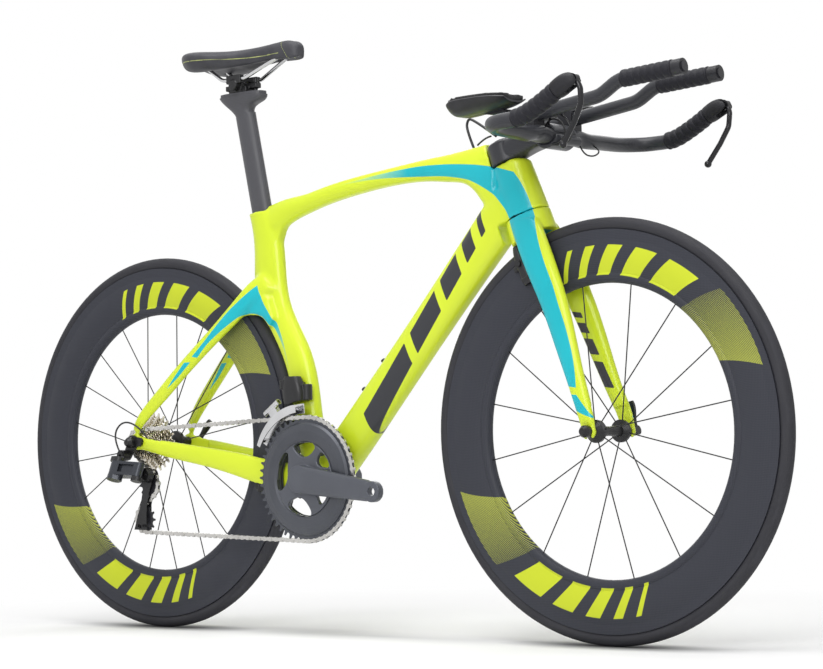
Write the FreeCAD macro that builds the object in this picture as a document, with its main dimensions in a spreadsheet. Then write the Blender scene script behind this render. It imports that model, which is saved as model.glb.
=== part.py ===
import FreeCAD, Part
import math
import os

import Sketcher
from FreeCAD import Placement, Rotation, Vector

# Time trial bike, millimetres. X forward, Y to the rider's left, Z up; the ground is Z = 0 and
# the two axles stand half a wheelbase either side of X = 0. The drive side is minus Y.

SIZES = (
    ("wheelbase", "990"),
    ("wheel_radius", "334"),
    ("tyre_section", "23"),
    ("tyre_wall", "2.2"),
    ("rim_depth", "84"),
    ("rim_track_width", "23.2"),
    ("rim_belly_width", "26.4"),
    ("rim_wall", "2.4"),
    ("front_spokes", "16"),
    ("rear_spokes", "20"),
    ("spoke_radius", "1.0"),
    ("front_hub_width", "100"),
    ("rear_hub_width", "130"),
    ("front_flange_radius", "18"),
    ("front_flange_at", "33"),
    ("rear_flange_radius", "22"),
    ("left_flange_at", "35"),
    ("right_flange_at", "17"),
    ("hub_barrel_radius", "10"),
    ("axle_radius", "6"),
    ("axle_stub_radius", "4.9"),
    ("skewer_radius", "2.5"),
    ("running_gap", "0.05"),
    ("chainstay_length", "401"),
    ("bb_drop", "69"),
    ("bb_shell_radius", "28"),
    ("bb_shell_width", "86"),
    ("bb_cup_radius", "21"),
    ("spindle_radius", "12"),
    ("head_angle", "72.5"),
    ("fork_rake", "43"),
    ("head_low", "377"),
    ("head_high", "468"),
    ("steerer_radius", "14.3"),
    ("seat_angle", "78.3"),
    ("seat_offset", "38.5"),
    ("seat_collar_height", "736"),
    ("top_tube_depth", "30"),
    ("top_tube_width", "32"),
    ("down_tube_depth", "70"),
    ("down_tube_width", "45"),
    ("seat_tube_width", "33"),
    ("head_tube_width", "50"),
    ("tube_wall", "4"),
    ("wheel_clearance", "8"),
    ("dropout_thickness", "7"),
    ("fork_leg_width", "21"),
    ("fork_leg_chord", "60"),
    ("post_chord", "42"),
    ("post_width", "25"),
    ("post_bottom_height", "632"),
    ("post_neck_height", "908"),
    ("saddle_length", "258"),
    ("saddle_width", "132"),
    ("saddle_height", "1026"),
    ("rail_radius", "3.5"),
    ("crank_length", "170"),
    ("crank_angle", "-7.2"),
    ("pedal_thread_radius", "7.14"),
    ("big_ring_teeth", "52"),
    ("small_ring_teeth", "36"),
    ("big_ring_at", "46.5"),
    ("small_ring_at", "39.6"),
    ("chain_pitch", "12.7"),
    ("roller_radius", "3.85"),
    ("first_cog_at", "60.4"),
    ("cog_spacing", "3.74"),
    ("cog_thickness", "1.6"),
    ("freehub_radius", "17.2"),
    ("pulley_teeth", "11"),
    ("pulley_distance", "63"),
    ("bar_half_width", "206"),
    ("bar_height", "803"),
    ("bar_radius", "12"),
    ("tape_thickness", "2.4"),
    ("extension_radius", "11.1"),
    ("extension_spacing", "100"),
    ("extension_tip_x", "676"),
    ("pad_length", "112"),
    ("pad_width", "88"),
    ("pad_spacing", "200"),
    ("pad_thickness", "10"),
    ("bottle_boss_spacing", "64"),
    ("cable_radius", "2.2"),
)

doc = FreeCAD.newDocument("TimeTrialBike")
dims = doc.addObject("Spreadsheet::Sheet", "Dims")
for row, (alias, value) in enumerate(SIZES, start=1):
    dims.set("A%d" % row, alias)
    dims.set("B%d" % row, value)
    dims.setAlias("B%d" % row, alias)
doc.recompute()

pieces = []
SIDE = Vector(0, 1, 0)
UP = Vector(0, 0, 1)


def mm(alias):
    """The number in one cell of the sheet."""
    return float(getattr(dims, alias))


def value_of(expression):
    """The number that an expression over the sheet stands for."""
    result = dims.evalExpression(expression)
    return float(getattr(result, "Value", result))


# Drawing helpers.

def keep(label, thing):
    """Name one finished piece; a bare shape becomes a feature of the document first."""
    if isinstance(thing, Part.Shape):
        feature = doc.addObject("Part::Feature", label)
        feature.Shape = thing
        thing = feature
    thing.Label = label
    pieces.append(thing)
    return thing


def cylinder(name, radius, height, start, axis):
    """A round bar whose radius and height are expressions over the sheet."""
    bar = doc.addObject("Part::Cylinder", name)
    bar.setExpression("Radius", radius)
    bar.setExpression("Height", height)
    bar.Placement = Placement(start, Rotation(UP, axis))
    return bar


def turned(label, profile, start, axis):
    """A turned body: its half outline is (along the axis, radius) pairs of expressions."""
    body = doc.addObject("PartDesign::Body", label)
    sketch = body.newObject("Sketcher::SketchObject", label + "_outline")
    points = [Vector(value_of(a), value_of(r), 0) for a, r in profile]
    count = len(points)
    for i in range(count):
        sketch.addGeometry(Part.LineSegment(points[i], points[(i + 1) % count]), False)
    for i in range(count):
        sketch.addConstraint(Sketcher.Constraint("Coincident", i, 2, (i + 1) % count, 1))
    for i, (along, radius) in enumerate(profile):
        across = sketch.addConstraint(Sketcher.Constraint("DistanceX", -1, 1, i, 1, points[i].x))
        sketch.setExpression("Constraints[%d]" % across, along)
        out = sketch.addConstraint(Sketcher.Constraint("DistanceY", -1, 1, i, 1, points[i].y))
        sketch.setExpression("Constraints[%d]" % out, radius)
    turn = body.newObject("PartDesign::Revolution", label + "_turn")
    turn.Profile = sketch
    turn.ReferenceAxis = (sketch, ["H_Axis"])
    turn.Angle = 360
    body.Placement = Placement(start, Rotation(Vector(1, 0, 0), axis))
    return body


def bar(start, end, radius):
    """A plain round bar between two points."""
    run = end - start
    return Part.makeCylinder(radius, run.Length, start, run)


def oval(centre, across, along, half_across, half_along, power=2.0):
    """A smooth closed outline round a centre; a higher power makes it squarer."""
    points = []
    for step in range(16):
        turn = math.pi * step / 8
        c, s = math.cos(turn), math.sin(turn)
        u = math.copysign(abs(c) ** (2 / power), c) * half_across
        v = math.copysign(abs(s) ** (2 / power), s) * half_along
        points.append(centre + across * u + along * v)
    curve = Part.BSplineCurve()
    curve.interpolate(Points=points, PeriodicFlag=True)
    return Part.Wire([curve.toShape()])


def loft(wires):
    """A smooth solid through closed outlines."""
    return Part.makeLoft(wires, True, False)


def mirrored(shape):
    """The same shape on the other side of the bike."""
    return shape.mirror(Vector(0, 0, 0), SIDE)


def flat(points, thickness, direction=SIDE):
    """A flat plate with a polygon outline, thickened along a direction."""
    outline = Part.makePolygon(points + [points[0]])
    return Part.Face(outline).extrude(direction * thickness)


def strap(first, second, first_radius, second_radius, thickness, direction=SIDE):
    """A plate with two round ends, one at each point, thickened along a direction."""
    run = second - first
    distance = run.Length
    along = run * (1 / distance)
    side = direction.cross(along)
    lean = math.asin((first_radius - second_radius) / distance)
    normal_a = along * math.sin(lean) + side * math.cos(lean)
    normal_b = along * math.sin(lean) - side * math.cos(lean)
    a1, a2 = first + normal_a * first_radius, second + normal_a * second_radius
    b1, b2 = first + normal_b * first_radius, second + normal_b * second_radius
    outline = Part.Wire([
        Part.LineSegment(a1, a2).toShape(),
        Part.Arc(a2, second + along * second_radius, b2).toShape(),
        Part.LineSegment(b2, b1).toShape(),
        Part.Arc(b1, first - along * first_radius, a1).toShape(),
    ])
    return Part.Face(outline).extrude(direction * thickness)


def rounded_path(points, radius):
    """Straight runs through the points, with an arc at every corner."""
    edges = []
    last = points[0]
    for before, corner, after in zip(points, points[1:], points[2:]):
        u = before - corner
        w = after - corner
        reach = min(u.Length, w.Length) * 0.48
        u.normalize()
        w.normalize()
        half = math.acos(max(-1.0, min(1.0, u.dot(w)))) / 2
        if half > 1.55:
            continue
        cut = min(radius / math.tan(half), reach)
        bend = cut * math.tan(half)
        start = corner + u * cut
        end = corner + w * cut
        middle = u + w
        middle.normalize()
        crown = corner + middle * (bend / math.sin(half) - bend)
        if (start - last).Length > 1e-6:
            edges.append(Part.LineSegment(last, start).toShape())
        edges.append(Part.Arc(start, crown, end).toShape())
        last = end
    edges.append(Part.LineSegment(last, points[-1]).toShape())
    return Part.Wire(edges)


def swept(path, radius):
    """A round bar along a path of lines and arcs."""
    first = path.Edges[0]
    start = first.valueAt(first.FirstParameter)
    tangent = first.tangentAt(first.FirstParameter)
    ring = Part.Wire([Part.makeCircle(radius, start, tangent)])
    return path.makePipeShell([ring], True, False)


def lerp(first, second, share):
    return first + (second - first) * share


def gathered(shapes):
    """Several like solids as one piece."""
    return Part.makeCompound(shapes)


def rotated(shape, centre, axis, degrees):
    copy = shape.copy()
    copy.rotate(centre, axis, degrees)
    return copy


# Points the whole bike hangs on.

wheel_radius = mm("wheel_radius")
rear_axle = Vector(-mm("wheelbase") / 2, 0, wheel_radius)
front_axle = Vector(mm("wheelbase") / 2, 0, wheel_radius)
bb = Vector(rear_axle.x + math.sqrt(mm("chainstay_length") ** 2 - mm("bb_drop") ** 2), 0,
            wheel_radius - mm("bb_drop"))
head_turn = math.radians(mm("head_angle"))
head_up = Vector(-math.cos(head_turn), 0, math.sin(head_turn))
head_fore = Vector(math.sin(head_turn), 0, math.cos(head_turn))
head_foot = front_axle - head_fore * mm("fork_rake")
seat_turn = math.radians(mm("seat_angle"))
seat_up = Vector(-math.cos(seat_turn), 0, math.sin(seat_turn))
seat_fore = Vector(math.sin(seat_turn), 0, math.cos(seat_turn))


def head(along, fore=0.0, side=0.0):
    """A point by its distance up the steering axis, in front of it and to its left."""
    return head_foot + head_up * along + head_fore * fore + SIDE * side


def seat(height):
    """The point of the seat axis at a height above the ground."""
    return Vector(bb.x - mm("seat_offset") - (height - bb.z) / math.tan(seat_turn), 0, height)


def seat_local(along, fore=0.0, side=0.0):
    """A point by its distance up the seat axis from the collar, in front of it and beside it."""
    return seat(mm("seat_collar_height")) + seat_up * along + seat_fore * fore + SIDE * side


head_low = mm("head_low")
head_high = mm("head_high")


# Frame: the bonded front triangle, then the four stays.

def tube_between(start, end, stations, inset=0.0):
    """A tube in the bike's mid plane: stations are (share, lift, half depth, half width, power)."""
    along = end - start
    along.normalize()
    lift_way = along.cross(SIDE) * -1
    if lift_way.z < 0:
        lift_way = lift_way * -1
    wires = []
    for share, lift, depth, width, power in stations:
        wires.append(oval(lerp(start, end, share) + lift_way * lift, lift_way, SIDE,
                          depth - inset, width - inset, power))
    return loft(wires)


def top_tube(inset=0.0):
    start, end = seat(715), head(452)
    deep = mm("top_tube_depth") / 2
    wide = mm("top_tube_width") / 2
    stations = (
        (0.0, -12, deep + 25, wide * 0.85, 2.3), (0.06, 1, deep + 13, wide * 0.88, 2.4),
        (0.108, 10, deep + 7.5, wide * 0.92, 2.4), (0.16, 15, deep + 3.5, wide * 0.95, 2.4),
        (0.285, 25, deep + 0.5, wide, 2.4), (0.409, 31, deep, wide, 2.4),
        (0.571, 34, deep + 0.5, wide, 2.4), (0.689, 32.5, deep + 4, wide * 1.05, 2.4),
        (0.785, 28, deep + 9, wide * 1.15, 2.4), (0.852, 21, deep + 17.5, wide * 1.25, 2.5),
        (0.9, 5, deep + 35, wide * 1.35, 2.6), (0.955, -3, deep + 46, wide * 1.4, 2.6),
    )
    return tube_between(start, end, stations, inset)


def down_tube(inset=0.0):
    deep = mm("down_tube_depth") / 2
    wide = mm("down_tube_width") / 2
    stations = (
        (0.0, 2, deep - 3, wide + 8, 2.5), (0.14, 2, deep, wide + 4, 2.6),
        (0.4, 3.5, deep, wide, 2.7), (0.7, 6, deep + 0.5, wide, 2.7),
        (0.9, 7.5, deep + 3, wide + 1, 2.6), (1.0, 8, deep + 5, wide + 1, 2.5),
    )
    return tube_between(bb + Vector(2, 0, -8), head(406), stations, inset)


def seat_tube():
    wide = mm("seat_tube_width") / 2
    stations = (
        (0, -15, 32, wide + 6), (65, -27, 32, wide + 3), (134, -40, 30, wide),
        (221, -63, 32, wide), (310, -112, 35, wide), (407, -120.5, 31.5, wide),
        (464, -133, 29, wide + 0.5), (500, -140, 28.5, wide + 0.5),
    )
    wires = [oval(bb + Vector(back, 0, rise), Vector(1, 0, 0), SIDE, half, width, 2.3)
             for rise, back, half, width in stations]
    return loft(wires)


def head_tube():
    wide = mm("head_tube_width") / 2
    low = oval(head(head_low, 7), head_fore, SIDE, 40, wide + 2, 2.3)
    middle = oval(head(lerp(head_low, head_high, 0.5), 5), head_fore, SIDE, 37, wide + 0.5, 2.3)
    high = oval(head(head_high + 2, 3), head_fore, SIDE, 34, wide - 1, 2.3)
    return loft([low, middle, high])


def turned_round_head(points, degrees=360):
    """A solid turned round the steering axis from (radius, height) corners."""
    corners = [head(height, radius) for radius, height in points]
    face = Part.Face(Part.makePolygon(corners + [corners[0]]))
    solid = face.revolve(head_foot, head_up, degrees)
    return rotated(solid, head_foot, head_up, -degrees / 2)


def post_section(along, chord, width, gap=0.0):
    return oval(seat_local(along), seat_fore, SIDE, chord / 2 + gap, width / 2 + gap, 2.2)


above_collar = Part.makeBox(160, 120, 80, Vector(-80, -60, 0))
above_collar.Placement = Placement(seat_local(-3), Rotation(UP, seat_up + seat_fore * 0.13))
CORNER = ((-222, 640), (-197.5, 640), (-194, 673), (-184, 698), (-171.5, 711.5), (-155, 720.5), (-108, 734.5),
          (-61.5, 741), (-61.5, 756), (-215, 725))


def side_web(corners, low_y, high_y):
    """A flat web in the bike's long plane from (X, Z) corners."""
    points = [Vector(x, low_y, z) for x, z in corners]
    return Part.Face(Part.makePolygon(points + [points[0]])).extrude(SIDE * (high_y - low_y))


bb_side = SIDE * mm("bb_shell_width") / 2
frame_shape = top_tube().fuse([down_tube(), seat_tube().cut(above_collar), head_tube(),
                               side_web(CORNER, -10, 10),
                               bar(bb - bb_side, bb + bb_side, mm("bb_shell_radius"))])
wheel_gap = wheel_radius + mm("wheel_clearance")
frame_shape = frame_shape.cut([
    bar(rear_axle - SIDE * 120, rear_axle + SIDE * 120, wheel_gap),
    bar(front_axle - SIDE * 120, front_axle + SIDE * 120, wheel_gap - 1),
])
post_hole = loft([post_section(at, mm("post_chord"), mm("post_width"), 0.3) for at in (-172, -70, 20)])
stem_room = turned_round_head([(0, head_high), (30, head_high), (30, head_high + 90), (0, head_high + 90)])
stem_slope = turned_round_head([(29, head_high), (90, head_high - 47.6), (90, head_high + 90),
                                (29, head_high + 90)], 180)
under_head = turned_round_head([(0, head_low), (46, head_low), (46, head_low - 60), (0, head_low - 60)])
frame_shape = frame_shape.cut([post_hole, stem_room, stem_slope, under_head])
frame_shape = frame_shape.cut([
    bar(head(head_low - 1), head(head_high + 1), 17),
    bar(head(head_low - 1), head(head_low + 8), 23.5),
    bar(head(head_high - 8), head(head_high + 1), 20.9),
    bar(bb - SIDE * 60, bb + SIDE * 60, mm("bb_cup_radius")),
])
hollow = tube_between(bb + Vector(2, 0, -8), head(406), (
    (0.05, 0, mm("down_tube_depth") / 2 - 3, mm("down_tube_width") / 2 + 4, 2.5),
    (0.4, 2, mm("down_tube_depth") / 2, mm("down_tube_width") / 2, 2.7),
    (0.8, 5, mm("down_tube_depth") / 2, mm("down_tube_width") / 2, 2.6)), mm("tube_wall"))
frame_shape = frame_shape.cut(hollow)
down_way = head(406) - (bb + Vector(2, 0, -8))
down_way.normalize()
down_up = Vector(-down_way.z, 0, down_way.x)
boss_points = [bb + Vector(2, 0, -8) + down_way * (209 + sign * mm("bottle_boss_spacing") / 2)
               for sign in (-1, 1)]
boss_top = mm("down_tube_depth") / 2 + 5
bosses = [bar(p + down_up * (boss_top - 12), p + down_up * boss_top, 6) for p in boss_points]
boss_holes = [bar(p + down_up * (boss_top - 16), p + down_up * (boss_top + 1), 2.5) for p in boss_points]
frame_shape = frame_shape.fuse(bosses).cut(boss_holes)
keep("front_triangle", max(frame_shape.Solids, key=lambda s: s.Volume))

bolts = []
for point in boss_points:
    shank = bar(point + down_up * (boss_top - 10), point + down_up * (boss_top + 1), 2.5)
    cap = bar(point + down_up * boss_top, point + down_up * (boss_top + 5), 4.2)
    key = bar(point + down_up * (boss_top + 2.5), point + down_up * (boss_top + 6), 1.7)
    bolts.append(shank.fuse(cap).cut(key))
keep("bottle_bolts", gathered(bolts))

drop_in = mm("rear_hub_width") / 2
drop_out = drop_in + mm("dropout_thickness")


def chainstay():
    """The left chainstay with its dropout."""
    across = rear_axle.x - bb.x
    rise = rear_axle.z - bb.z
    stations = (
        (0.045, 22, -0.06, 25.5, 12), (0.152, 25, 0.035, 25.5, 10), (0.279, 30, 0.165, 24, 8.8),
        (0.43, 38.5, 0.385, 21, 8.5), (0.608, 49, 0.6, 17, 8),
        (0.785, 58.5, 0.78, 15, 7.5), (0.911, drop_in + 1.5, 0.915, 12, 5.5),
        (0.965, drop_in + 3.5, 0.975, 11, 3.5),
    )
    stay = loft([oval(bb + Vector(across * f, side, rise * g), UP, SIDE, tall, thick, 2.4)
                 for f, side, g, tall, thick in stations])
    stay = stay.cut(bar(rear_axle + SIDE * 40, rear_axle + SIDE * drop_in, 60))
    plate = bar(rear_axle + SIDE * drop_in, rear_axle + SIDE * drop_out, 15)
    plate = plate.fuse(strap(rear_axle + SIDE * drop_in, rear_axle + Vector(24, drop_in, -2),
                             14, 11, mm("dropout_thickness")))
    stay = stay.fuse(plate)
    slot = strap(rear_axle + SIDE * (drop_in - 5), rear_axle + Vector(-4, drop_in - 5, -30), 5, 5, 20)
    return stay.cut([slot, bar(bb - SIDE * 60, bb + SIDE * 60, mm("bb_cup_radius") + 0.3)])


ARCH = ((-313, 531.5), (-300.8, 538.9), (-283.5, 546.9), (-268.8, 550.5), (-252.8, 552.4), (-232.6, 551.3),
        (-220.7, 546.4), (-212, 539.9), (-203, 528), (-190, 545), (-205.4, 583), (-258.5, 574), (-308, 546))


def seatstay():
    """The left seatstay, from inside the seat tube to the dropout."""
    top = bb + Vector(-105, 0, 340)
    low = rear_axle + Vector(4, 0, 17)
    way = low - top
    way.normalize()
    out = Vector(way.z, 0, -way.x)
    if out.z < 0:
        out = out * -1
    stations = (
        (0.0, 13, 6, 22, 9), (0.139, 24.5, 13, 19, 9), (0.261, 31.5, 13, 16.5, 8.5),
        (0.411, 39.5, 14, 14.5, 8), (0.554, 46.5, 15, 14, 7.5), (0.679, 52.5, 14.5, 13.5, 7.5),
        (0.836, drop_in - 5, 13, 12.5, 6.5), (0.955, drop_in + 2, 8.5, 10.5, 4.5),
        (1.0, drop_in + 3.5, 2, 9, 3.4),
    )
    stay = loft([oval(lerp(top, low, f) + out * lift + SIDE * side, out, SIDE, deep, thick, 2.2)
                 for f, side, lift, deep, thick in stations])
    axle_room = bar(rear_axle + SIDE * 30, rear_axle + SIDE * 90, 15.2)
    return stay.fuse(side_web(ARCH, 15, 26)).cut([axle_room, post_hole])


left_chainstay = chainstay()
left_seatstay = seatstay().cut(left_chainstay)
keep("seatstay_left", left_seatstay)
keep("seatstay_right", mirrored(left_seatstay))

bearings = []
for side in (-mm("bb_shell_width") / 2, mm("bb_shell_width") / 2 - 9):
    cup = Part.makeCylinder(mm("bb_cup_radius"), 9, bb + SIDE * side, SIDE)
    room = Part.makeCylinder(mm("spindle_radius") + mm("running_gap"), 9, bb + SIDE * side, SIDE)
    bearings.append(cup.cut(room))
for low, high, radius in ((head_low + 1, head_low + 8, 23.5), (head_high - 8, head_high - 0.5, 20.9)):
    race = bar(head(low), head(high), radius)
    bearings.append(race.cut(bar(head(low - 1), head(high + 1), mm("steerer_radius") + mm("running_gap"))))
keep("frame_bearings", gathered(bearings))


# Wheels: a hollow deep rim, a clincher tyre, a hub on bearings and straight-pull spokes.

rim_out = wheel_radius - mm("tyre_section") + 4
rim_in = rim_out - mm("rim_depth")


def rim(axle):
    """A deep rim, hollow between its nose and its tyre bed, with a hole for the valve."""
    track, belly, wall = mm("rim_track_width") / 2, mm("rim_belly_width") / 2, mm("rim_wall")

    def ring(track, belly, out, shoulder, waist, chin, nose, sag):
        points = {side: [Vector(0, side * track, out), Vector(0, side * track, shoulder),
                         Vector(0, side * belly, waist), Vector(0, side * chin, nose + sag)]
                  for side in (-1, 1)}
        right, left = points[-1], points[1]
        outline = Part.Wire([
            Part.LineSegment(right[0], right[1]).toShape(),
            Part.Arc(right[1], right[2], right[3]).toShape(),
            Part.Arc(right[3], Vector(0, 0, nose), left[3]).toShape(),
            Part.Arc(left[3], left[2], left[1]).toShape(),
            Part.LineSegment(left[1], left[0]).toShape(),
            Part.LineSegment(left[0], right[0]).toShape(),
        ])
        return Part.Face(outline).revolve(Vector(0, 0, 0), SIDE, 360)

    chin = belly * 0.62
    shape = ring(track, belly, rim_out, rim_out - 15, rim_out - 42, chin, rim_in, 16)
    inside = ring(track - wall, belly - wall, rim_out - 9, rim_out - 15, rim_out - 42, chin - 1.6 * wall, rim_in + 12, 10)
    well = Part.makeCylinder(rim_out + 1, 11, Vector(0, -5.5, 0), SIDE).cut(
        Part.makeCylinder(rim_out - 6, 11, Vector(0, -5.5, 0), SIDE))
    valve = bar(Vector(0, 0, -rim_in + 5), Vector(0, 0, -rim_out - 2), 3.2)
    shape = shape.cut([inside, well, valve])
    shape.translate(axle)
    return shape


def tyre(name, axle):
    """A clincher tyre: an open ring of rubber standing on the rim's edges."""
    around = Placement(axle, Rotation(UP, SIDE))
    outside = doc.addObject("Part::Torus", name + "_tread")
    outside.setExpression("Radius1", "Dims.wheel_radius - Dims.tyre_section / 2")
    outside.setExpression("Radius2", "Dims.tyre_section / 2")
    inside = doc.addObject("Part::Torus", name + "_air")
    inside.setExpression("Radius1", "Dims.wheel_radius - Dims.tyre_section / 2")
    inside.setExpression("Radius2", "Dims.tyre_section / 2 - Dims.tyre_wall")
    mouth = cylinder(name + "_mouth", "Dims.wheel_radius - Dims.tyre_section + 4", "60",
                     axle - SIDE * 30, SIDE)
    outside.Placement = around
    inside.Placement = around
    casing = doc.addObject("Part::Cut", name + "_casing")
    casing.Base = outside
    casing.Tool = inside
    whole = doc.addObject("Part::Cut", name)
    whole.Base = casing
    whole.Tool = mouth
    return whole


def spokes(axle, count, right_flange, left_flange, flange_radius, lean, first):
    """Spokes from alternate flanges; lean is how far the hub ends sit round from their rim ends."""
    rods = []
    for i in range(count):
        side = -right_flange if i % 2 else left_flange
        turn = math.radians(first) + 2 * math.pi * i / count
        crossed = lean if i % 2 else 0
        swing = math.radians(crossed) * (-1 if (i // 2) % 2 else 1)
        step = 1.6 if (i // 2) % 2 else -1.6
        inner = flange_radius - 3
        hub_end = axle + Vector(math.cos(turn + swing) * inner, side + (step if crossed else 0),
                                math.sin(turn + swing) * inner)
        rim_end = axle + Vector(math.cos(turn), 0, math.sin(turn)) * (rim_in + 2) + SIDE * (side * 0.04)
        rods.append(bar(hub_end, rim_end, mm("spoke_radius")))
    return gathered(rods)


keep("front_rim", rim(front_axle))
keep("rear_rim", rim(rear_axle))
keep("front_tyre", tyre("front_tyre", front_axle))
keep("rear_tyre", tyre("rear_tyre", rear_axle))
keep("front_spokes", spokes(front_axle, int(mm("front_spokes")), mm("front_flange_at"),
                            mm("front_flange_at"), mm("front_flange_radius"), 0, 33))
keep("rear_spokes", spokes(rear_axle, int(mm("rear_spokes")), mm("right_flange_at"),
                           mm("left_flange_at"), mm("rear_flange_radius"), 62, 8))

half = "Dims.front_hub_width / 2"
flange = "Dims.front_flange_at"
keep("front_hub", turned("front_hub", [
    ("0", "Dims.axle_radius + Dims.running_gap"), ("0", "Dims.hub_barrel_radius - 1"),
    (half + " - 9 - " + flange + " - 4", "Dims.hub_barrel_radius + 3"),
    (half + " - 6 - " + flange + " - 4", "Dims.front_flange_radius - 2"),
    (half + " - 6 - " + flange + " - 2.5", "Dims.front_flange_radius"),
    (half + " - 6 - " + flange + " + 2.5", "Dims.front_flange_radius"),
    (half + " - 6 - " + flange + " + 6", "Dims.hub_barrel_radius - 1"),
    (half + " - 6", "Dims.hub_barrel_radius - 2.5"),
    (half + " - 6 + " + flange + " - 6", "Dims.hub_barrel_radius - 1"),
    (half + " - 6 + " + flange + " - 2.5", "Dims.front_flange_radius"),
    (half + " - 6 + " + flange + " + 2.5", "Dims.front_flange_radius"),
    (half + " - 6 + " + flange + " + 4", "Dims.front_flange_radius - 2"),
    (half + " - 3 + " + flange + " + 4", "Dims.hub_barrel_radius + 3"),
    ("Dims.front_hub_width - 12", "Dims.hub_barrel_radius - 1"),
    ("Dims.front_hub_width - 12", "Dims.axle_radius + Dims.running_gap"),
], front_axle - SIDE * (mm("front_hub_width") / 2 - 6), SIDE))

right = "Dims.rear_hub_width / 2 - 6 - Dims.right_flange_at"
left = "Dims.rear_hub_width / 2 - 6 + Dims.left_flange_at"
keep("rear_hub", turned("rear_hub", [
    (right + " - 4.5", "Dims.axle_radius + Dims.running_gap"),
    (right + " - 4.5", "Dims.rear_flange_radius - 3"),
    (right + " - 2.6", "Dims.rear_flange_radius"), (right + " + 2.6", "Dims.rear_flange_radius"),
    (right + " + 6", "Dims.hub_barrel_radius + 3"), (left + " - 8", "Dims.hub_barrel_radius"),
    (left + " - 2.6", "Dims.rear_flange_radius - 2"), (left + " + 2.6", "Dims.rear_flange_radius - 2"),
    (left + " + 5", "Dims.hub_barrel_radius + 3"),
    ("Dims.rear_hub_width - 12", "Dims.hub_barrel_radius"),
    ("Dims.rear_hub_width - 12", "Dims.axle_radius + Dims.running_gap"),
], rear_axle - SIDE * (mm("rear_hub_width") / 2 - 6), SIDE))


def axle_set(centre, hub_width, grip):
    """A hollow axle with end caps, the skewer through it and the nut on the drive side."""
    half_width = hub_width / 2
    radius = mm("axle_radius")
    stub = mm("axle_stub_radius")
    tube = bar(centre - SIDE * half_width, centre + SIDE * half_width, radius)
    ends = [bar(centre + SIDE * sign * (half_width - 5.7), centre + SIDE * sign * half_width, 9)
            for sign in (-1, 1)]
    stubs = [bar(centre + SIDE * sign * (half_width - 1), centre + SIDE * sign * (half_width + 5), stub)
             for sign in (-1, 1)]
    hole = bar(centre - SIDE * (half_width + 10), centre + SIDE * (half_width + 10),
               mm("skewer_radius") + 0.1)
    shell = tube.fuse(ends + stubs).cut(hole)
    near = centre - SIDE * grip
    rod = bar(near - SIDE * 11, centre + SIDE * (grip + 15), mm("skewer_radius"))
    nut = bar(near, near - SIDE * 9, 9.5).fuse(
        Part.makeCone(9.5, 5.5, 6, near - SIDE * 9, SIDE * -1))
    far = centre + SIDE * grip
    cup = bar(far, far + SIDE * 7, 9)
    cup = cup.cut(bar(far - SIDE, far + SIDE * 8, mm("skewer_radius")))
    nut = nut.cut(bar(near + SIDE, near - SIDE * 11, mm("skewer_radius")))
    return gathered([shell, rod, nut, cup])


def quick_lever(centre, grip, up_way):
    """The cam lever on the left end of a skewer, folded against the bike."""
    hinge = centre + SIDE * (grip + 15.5)
    axis = SIDE.cross(up_way)
    cam = Part.makeCylinder(7.5, 13, hinge - axis * 6.5, axis)
    tip = hinge + up_way * 48 + SIDE * 3
    blade = loft([oval(lerp(hinge, tip, f), axis, SIDE, wide, thick, 2.4)
                  for f, wide, thick in ((0.08, 5.5, 5), (0.4, 5.5, 3), (0.8, 7.5, 2.6), (1.0, 5, 2))])
    slot_width = 2 * (mm("skewer_radius") + 0.3)
    slot = Part.makeBox(slot_width, 13.8, 20, Vector(-slot_width / 2, -10, -10))
    slot.Placement = Placement(hinge, Rotation(axis, up_way, SIDE, "XYZ"))
    return cam.fuse(blade).cut(slot)


rear_grip = drop_out + 4
front_grip = mm("front_hub_width") / 2 + mm("dropout_thickness")
keep("rear_axle", axle_set(rear_axle, mm("rear_hub_width"), rear_grip))
keep("front_axle", axle_set(front_axle, mm("front_hub_width"), front_grip))
rear_lever_way = Vector(0.62, 0, 0.78)
front_lever_way = Vector(-0.2, 0, 0.98)
front_lever_way.normalize()
rear_lever_way.normalize()
keep("rear_quick_lever", quick_lever(rear_axle, rear_grip, rear_lever_way))
keep("front_quick_lever", quick_lever(front_axle, front_grip, front_lever_way))

hanger_top = rear_axle - SIDE * drop_out
hanger_eye = rear_axle + Vector(-14, -drop_out, -23)
hanger = bar(hanger_top, hanger_top - SIDE * 4, 13).fuse([
    strap(hanger_top - SIDE * 4, hanger_eye - SIDE * 4, 11, 9, 4),
    strap(hanger_top + Vector(2, -4, 3), hanger_top + Vector(18.4, -4, 1), 8, 7, 4),
    bar(hanger_top + Vector(18.4, -3, 0), hanger_top + Vector(18.4, -6.5, 0), 7.6),
])
hanger = hanger.cut([mirrored(left_chainstay), bar(hanger_top + SIDE, hanger_top - SIDE * 5, 5.2),
                     bar(hanger_eye + SIDE, hanger_eye - SIDE * 5, 5)])
washer = bar(rear_axle + SIDE * drop_out, rear_axle + SIDE * rear_grip, 12).cut(
    bar(rear_axle + SIDE * (drop_out - 1), rear_axle + SIDE * (rear_grip + 1), 5.2))
keep("dropout_plates", gathered([hanger, washer]))


# Chain drive.

pitch = mm("chain_pitch")


def pitch_radius(teeth):
    return pitch / (2 * math.sin(math.pi / teeth))


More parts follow.
